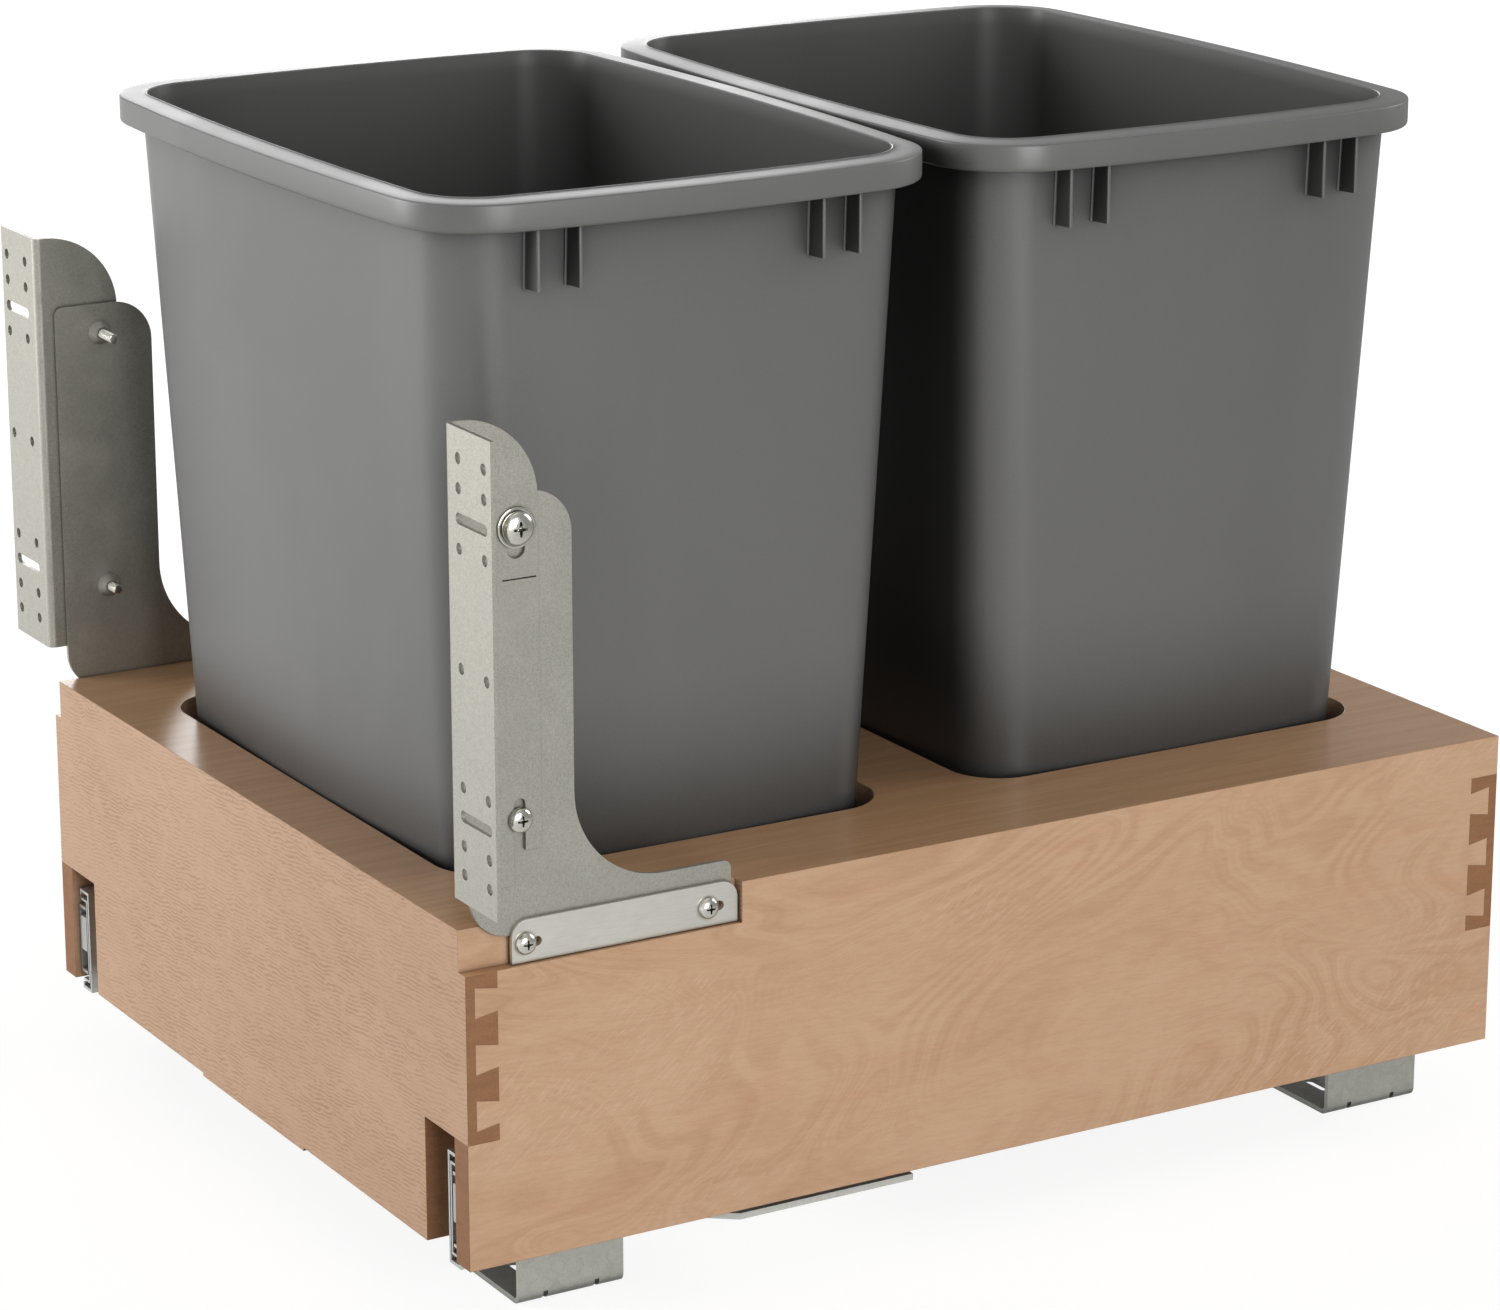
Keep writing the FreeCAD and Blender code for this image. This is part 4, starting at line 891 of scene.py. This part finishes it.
@dataclass
class WasteBin:
    """Tapered plastic bin with bowed walls, a hollow domed rim and gussets under it."""

    node: str
    centre: float
    base: float = 38.7 * MM
    height: float = 454.0 * MM
    low_x: float = 151.794 * MM
    low_y: float = 104.994 * MM
    draft: float = 0.0413
    wall: float = 2.5 * MM
    bow: float = 5.6 * MM
    corner: float = 31.0 * MM
    foot: float = 6.0 * MM
    rim_x: float = 183.744 * MM
    rim_y: float = 134.6 * MM
    rim_height: float = 13.6 * MM
    rim_wall: float = 2.0 * MM
    rim_bow: float = 8.0 * MM
    rim_corner: float = 42.0 * MM
    gusset_thick: float = 1.8 * MM
    gusset_high: float = 26.8 * MM
    gusset_slope: float = 0.5 * MM
    gusset_fall: float = 40.0
    gusset_crease: float = 30.0
    gusset_places: tuple[float, ...] = (-80.0 * MM, -60.5 * MM, 60.5 * MM, 80.0 * MM)
    gusset_top: float = 3.2 * MM
    tip_gap: float = 0.3 * MM
    # gusset's outline: distance out from the wall and what the fillet adds to half its width, in millimetres, and
    # then distance back from the tip, in millimetres, and share of half its width
    gusset_root: Rows = ((-1.2, 1.25), (0.0, 1.25), (0.3, 1.2), (0.58, 1.0), (0.76, 0.7), (0.82, 0.3), (0.82, 0.0))
    gusset_tip: Rows = ((0.8, 1.0), (0.4, 0.9), (0.12, 0.62), (0.0, 0.2))
    gusset_rows: tuple[float, ...] = (0.0, 0.02, 0.3, 0.65, 1.0)
    # rim's dome: share of the way from the inner wall to the skirt, and drop below the top in millimetres
    dome: Rows = (
        (0.0, 0.6), (0.01, 0.25), (0.03, 0.05), (0.05, 0.0), (0.07, 0.06), (0.085, 0.2), (0.1, 0.36),
        (0.13, 0.45), (0.3, 0.58), (0.6, 0.78), (0.94, 1.0), (0.975, 1.12), (0.992, 1.35), (1.0, 1.85))
    # skirt's lower edge: height above its lowest line and distance in from its outside, in millimetres
    lip: Rows = ((2.4, 0.0), (1.2, 0.05), (0.5, 0.3), (0.1, 0.75), (0.0, 1.2), (0.2, 1.65), (0.8, 1.95), (2.0, 2.0))
    under_rim: tuple[float, float] = (4.6 * MM, 3.4 * MM)
    under_rim_in: tuple[float, float] = (0.8 * MM, 1.2 * MM)
    # heights of the rings on the wall above the foot, in millimetres
    inside_levels: tuple[int, ...] = (60, 140, 230, 320, 400, 436, 445)
    outside_levels: tuple[int, ...] = (440, 425, 400, 320, 230, 140, 60, 20)
    floor_shares: tuple[float, ...] = (0.03, 0.35, 0.7, 0.92)
    foot_shares: tuple[float, ...] = (0.9, 0.6, 0.3, 0.03)
    foot_turns: tuple[int, ...] = (0, 15, 30, 45, 60, 75, 90)
    corner_share: float = 0.6
    side_steps: int = 22
    corner_steps: int = 16
    inside_rows: int = 18

    def outline(self, height: float, half_x: float, half_y: float, bow: float, corner: float) -> list[Vector]:
        """Rectangle with round corners whose sides bow out, as eight arcs that run into each other.

        Args:
            height: Height of the outline.
            half_x: Half its reach along X.
            half_y: Half its reach along Y.
            bow: How far the sides bow out.
            corner: Radius of the corners.

        Returns:
            Points round the outline, the same number for each outline.
        """
        reach_x = ((half_y - bow) ** 2 + bow**2) / (2 * bow)
        reach_y = ((half_x - bow) ** 2 + bow**2) / (2 * bow)
        middle_x, middle_y = Vector((half_x - reach_x, 0, 0)), Vector((0, half_y - reach_y, 0))
        apart = (middle_y - middle_x).length
        toward = (middle_y - middle_x) / apart
        along = ((reach_x - corner) ** 2 - (reach_y - corner) ** 2 + apart**2) / (2 * apart)
        off = math.sqrt((reach_x - corner) ** 2 - along**2)
        middle = middle_x + toward * along + Vector((-toward.y, toward.x, 0)) * off
        turn_x = math.atan2(middle.y - middle_x.y, middle.x - middle_x.x)
        turn_y = math.atan2(middle.y - middle_y.y, middle.x - middle_y.x)

        def arc(centre: Vector, radius: float, first: float, last: float, steps: int) -> list[Vector]:
            """Points on an arc between two turns, without its last one."""
            turns = [first + (last - first) * i / steps for i in range(steps)]
            return [centre + Vector((math.cos(t), math.sin(t), 0)) * radius for t in turns]

        quarter = arc(middle_x, reach_x, 0.0, turn_x, self.side_steps // 2)
        quarter += arc(middle, corner, turn_x, turn_y, self.corner_steps)
        quarter += arc(middle_y, reach_y, turn_y, math.pi / 2, self.side_steps // 2)
        crown = [Vector((0, half_y, 0))]
        half = quarter + crown + [Vector((-p.x, p.y, 0)) for p in reversed(quarter[1:])]
        whole = half + [Vector((-p.x, -p.y, 0)) for p in half]
        return [p + Vector((0, self.centre, height)) for p in whole]

    def wall_ring(self, level: float, inset: float) -> list[Vector]:
        """Outline of the bin's wall at a level above its foot, drawn in by inset."""
        spread = self.draft * level - inset
        return self.outline(self.base + level, self.low_x + spread, self.low_y + spread, self.bow,
                            self.corner - self.corner_share * inset)

    def rim_ring(self, drop: float, inset: float) -> list[Vector]:
        """Outline of the rim, drop below the bin's top and drawn in by inset."""
        return self.outline(self.base + self.height - drop, self.rim_x - inset, self.rim_y - inset,
                            self.rim_bow, self.rim_corner - inset)

    def between(self, share: float, drop: float) -> list[Vector]:
        """Draws a ring on the rim's dome.

        Args:
            share: Share of the way from the inner wall out to the skirt.
            drop: Distance below the bin's top.

        Returns:
            The ring.
        """
        inner = self.wall_ring(self.height - drop, self.wall)
        outer = self.rim_ring(drop, 0.0)
        return [a.lerp(b, share) for a, b in zip(inner, outer)]

    def shell_rings(self) -> list[list[Vector]]:
        """Draws the whole skin, from the middle of the floor inside to the middle of the foot below.

        Returns:
            The rings, for lofted().
        """
        round_foot = [math.radians(a) for a in self.foot_turns]
        rings: list[list[Vector]] = []
        for share in self.floor_shares:
            middle = Vector((0, self.centre, self.base + self.wall))
            rings.append([middle.lerp(p, share) for p in self.wall_ring(self.wall, self.wall + self.foot)])
        for turn in round_foot:
            rings.append(self.wall_ring(self.wall + self.foot * (1 - math.cos(turn)),
                                        self.wall + self.foot * (1 - math.sin(turn))))
        rings += [self.wall_ring(level * MM, self.wall) for level in self.inside_levels]
        rings += [self.between(share, drop * MM) for share, drop in self.dome]
        rings += [self.rim_ring(self.rim_height - up * MM, inset * MM) for up, inset in self.lip]
        (low, high), (skirt_in, wall_out) = self.under_rim, self.under_rim_in
        rings.append(self.rim_ring(low, self.rim_wall))
        rings.append(self.rim_ring(high, self.rim_wall + skirt_in))
        rings.append(self.wall_ring(self.height - high, -wall_out))
        rings.append(self.wall_ring(self.height - low, 0.0))
        rings += [self.wall_ring(level * MM, 0.0) for level in self.outside_levels]
        for turn in reversed(round_foot):
            rings.append(self.wall_ring(self.foot * (1 - math.cos(turn)), self.foot * (1 - math.sin(turn))))
        for share in self.foot_shares:
            middle = Vector((0, self.centre, self.base))
            rings.append([middle.lerp(p, share) for p in self.wall_ring(0.0, self.foot)])
        return rings

    def shell(self) -> Piece:
        """Builds the bin's walls, floor and rim, and marks the faces inside it, which its finish darkens as painted
        shade.

        Returns:
            The shell.
        """
        rings = self.shell_rings()
        points, faces = lofted(rings)
        piece = piece_from(f"{self.node}_shell", points, faces)
        last = self.inside_rows * len(rings[0])
        marks = piece.data.attributes.new(INSIDE_MARK, "FLOAT", "FACE")
        marks.data.foreach_set("value", [float(i < last) for i in range(len(piece.data.polygons))])
        return piece

    def gusset(self, number: int, hand: Side, place: float) -> Piece:
        """Builds one gusset, with a filleted root on the wall and a rounded edge near the skirt.

        Args:
            number: Number of the gusset on its side.
            hand: Side of the bin.
            place: Its place along Y, from the bin's middle.

        Returns:
            The gusset.
        """
        low = self.base + self.height - self.rim_height - self.gusset_high
        top = self.base + self.height - self.gusset_top

        def wall_at(height: float) -> float:
            """Distance of the wall from the bin's middle at a height."""
            spread = self.draft * (height - self.base)
            half_y, half_x = self.low_y + spread, self.low_x + spread
            reach = ((half_y - self.bow) ** 2 + self.bow**2) / (2 * self.bow)
            return half_x - reach + math.sqrt(reach**2 - place**2)

        skirt_reach = ((self.rim_y - self.rim_bow) ** 2 + self.rim_bow**2) / (2 * self.rim_bow)
        tip = self.rim_x - self.rim_wall - skirt_reach + math.sqrt(skirt_reach**2 - place**2) - self.tip_gap
        half = self.gusset_thick / 2
        rings = []
        for share in self.gusset_rows:
            level = low + (top - low) * share
            wall = wall_at(level)
            plan = [(wall + out * MM, half + wide * MM) for out, wide in self.gusset_root]
            plan += [(tip - back * MM, half * part) for back, part in self.gusset_tip]
            whole = plan + [(x, -y) for x, y in reversed(plan)]
            fall = self.gusset_slope * max(0.0, 1.0 - share * self.gusset_fall)
            rings.append([Vector((hand.value * x, self.centre + place + y,
                                  level - fall * (tip - x) / (tip - wall))) for x, y in whole])
        points, faces = lofted(rings)
        piece = piece_from(f"{self.node}_gusset_{hand.name.lower()}_{number}", points, faces)
        crisp(piece, self.gusset_crease)
        return piece

    def build(self) -> None:
        """Builds the bin in place of its CAD node."""
        material = BIN_GREY.make()
        shell = self.shell()
        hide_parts(self.node)
        pieces = [shell]
        for hand in Side:
            for number, place in enumerate(self.gusset_places, 1):
                pieces.append(self.gusset(number, hand, place))
        for piece in pieces:
            dressed(piece, material)
            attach(piece, self.node)
            log.info("piece %s rides on %s", piece.name, self.node)


# ---------------- studio


@dataclass(frozen=True)
class SoftLamp:
    """Square soft lamp that looks at the unit."""

    name: str
    place: Triple
    size: float
    power: float
    target: Triple = (0.0, 0.0, 0.24)

    def hang(self) -> None:
        """Puts the lamp in the scene."""
        data = bpy.data.lights.new(self.name, "AREA")
        data.shape = "SQUARE"
        data.size = self.size
        data.energy = self.power
        lamp = bpy.data.objects.new(self.name, data)
        lamp.location = self.place
        lamp.rotation_euler = (Vector(self.target) - Vector(self.place)).to_track_quat("-Z", "Y").to_euler()
        lamp.visible_camera = False
        bpy.context.scene.collection.objects.link(lamp)


@dataclass
class Studio:
    """Camera, lamps, white surround and pale floor."""

    camera_place: Triple = (1.9717, -1.1804, 0.8871)
    azimuth: float = 59.394
    elevation: float = 16.3215
    roll: float = -0.0135
    lens: float = 117.46
    sensor: float = 36.0
    clip: tuple[float, float] = (0.05, 60.0)
    floor_half: float = 14.0
    floor_steps: int = 8
    floor_drop: float = 0.4 * MM
    floor_seen: float = 0.9
    floor_lit: float = 0.5
    floor_glow: float = 1.12
    mirrored_glow: float = 1.3
    mirrored_most: float = 1.5
    near_far: tuple[float, float] = (0.35, 1.3)
    near_glow: float = 0.78
    surround_grey: float = 0.2
    dim_side: Triple = (0.25, 0.97, 0.0)
    dim_level: float = 0.35
    dim_span: tuple[float, float] = (-0.7, 0.7)
    dim_reach: float = 1.6
    lamps: tuple[SoftLamp, ...] = (
        SoftLamp("front_softbox", (-1.8, -2.9, 0.95), 1.8, 81.0),
        SoftLamp("side_softbox", (3.3, -0.3, 0.85), 1.6, 63.0),
        SoftLamp("top_softbox", (-0.3, 0.3, 3.2), 2.0, 8.0),
        SoftLamp("back_softbox", (0.8, 3.3, 1.7), 2.0, 44.0),
        SoftLamp("left_softbox", (-3.3, 1.2, 0.9), 1.6, 34.0),
    )

    def set_camera(self) -> None:
        """Puts the camera where the photograph was taken from."""
        data = bpy.data.cameras.new("camera")
        data.lens = self.lens
        data.sensor_width = self.sensor
        data.sensor_fit = "HORIZONTAL"
        data.clip_start, data.clip_end = self.clip
        camera = bpy.data.objects.new("camera", data)
        turn, rise = math.radians(self.azimuth), math.radians(self.elevation)
        look = Vector((-math.sin(turn) * math.cos(rise), math.cos(turn) * math.cos(rise), -math.sin(rise)))
        facing = look.to_track_quat("-Z", "Y").to_matrix().to_4x4()
        camera.matrix_world = (Matrix.Translation(self.camera_place) @ facing
                               @ Matrix.Rotation(math.radians(self.roll), 4, "Z"))
        bpy.context.scene.collection.objects.link(camera)
        bpy.context.scene.camera = camera

    def set_surround(self) -> None:
        """Makes the world white where it is seen, and softer as light on the unit."""
        desk = NodeDesk(bpy.data.worlds.new("surround"))
        camera, seen = desk.seen()
        lean = desk.toward(desk.place.outputs["Generated"], self.dim_side)
        low, high = self.dim_span
        dim = desk.add("MapRange", None, {0: lean, 1: low, 2: high, 3: 1.0, 4: self.dim_level}).outputs[0]
        bright = desk.sum_of("MAXIMUM", camera, dim)
        grey = (self.surround_grey, self.surround_grey, self.surround_grey, 1.0)
        light = desk.add("Background", None, {"Color": desk.blend(seen, grey, bright)})
        desk.add("OutputWorld", None, {"Surface": light.outputs[0]})
        bpy.context.scene.world = desk.holder

    def lay_floor(self) -> None:
        """Lays a white floor that keeps the unit's shadow and fades into the surround."""
        half, steps = self.floor_half, self.floor_steps
        row = [-half + 2 * half * i / steps for i in range(steps + 1)]
        points = [Vector((x, y, -self.floor_drop)) for y in row for x in row]
        wide = steps + 1
        faces = [(j * wide + i, j * wide + i + 1, (j + 1) * wide + i + 1, (j + 1) * wide + i)
                 for j in range(steps) for i in range(steps)]
        floor = piece_from("floor", points, faces)
        desk = NodeDesk(bpy.data.materials.new("floor_white"))
        camera, seen = desk.seen()
        place = desk.place.outputs["Object"]
        lit, shown = ((grey, grey, grey, 1.0) for grey in (self.floor_lit, self.floor_seen))
        matt = desk.add("BsdfDiffuse", None, {"Color": desk.blend(camera, lit, shown)})
        lean = desk.toward(place, self.dim_side)
        mirrored = desk.levels(lean, -self.dim_reach, self.dim_reach, self.mirrored_glow, self.dim_level)
        strength = desk.sum_of("MAXIMUM", mirrored, desk.times(camera, self.floor_glow))
        most = desk.times_plus(camera, self.floor_glow - self.mirrored_most, self.mirrored_most)
        glow = desk.add("Emission", None, {"Color": (1.0, 1.0, 1.0, 1.0),
                                           "Strength": desk.sum_of("MINIMUM", strength, most)})
        far = desk.add("VectorMath", {"operation": "LENGTH"}, {0: place}).outputs[1]
        share = desk.times(seen, desk.levels(far, *self.near_far, self.near_glow, 1.0))
        both = desk.add("MixShader", None, {0: share, 1: matt.outputs[0], 2: glow.outputs[0]})
        desk.add("OutputMaterial", None, {"Surface": both.outputs[0]})
        dressed(floor, desk.holder)

    def build(self) -> None:
        """Sets up the whole studio."""
        bpy.context.scene.view_settings.view_transform = "Standard"
        self.set_camera()
        self.set_surround()
        self.lay_floor()
        for lamp in self.lamps:
            lamp.hang()
        log.info("studio ready with %d lamps", len(self.lamps))


def main() -> None:
    """Builds the looks of the unit, piece by piece."""
    logging.basicConfig(level=logging.INFO, format="%(name)s: %(message)s")
    Studio().build()
    Tray().dress()
    SlidePair().dress()
    FloorFrame().dress()
    DoorMounts().dress()
    WasteBin("front_bin", -142.85 * MM).build()
    WasteBin("rear_bin", 128.65 * MM).build()


if __name__ == "__main__":
    main()
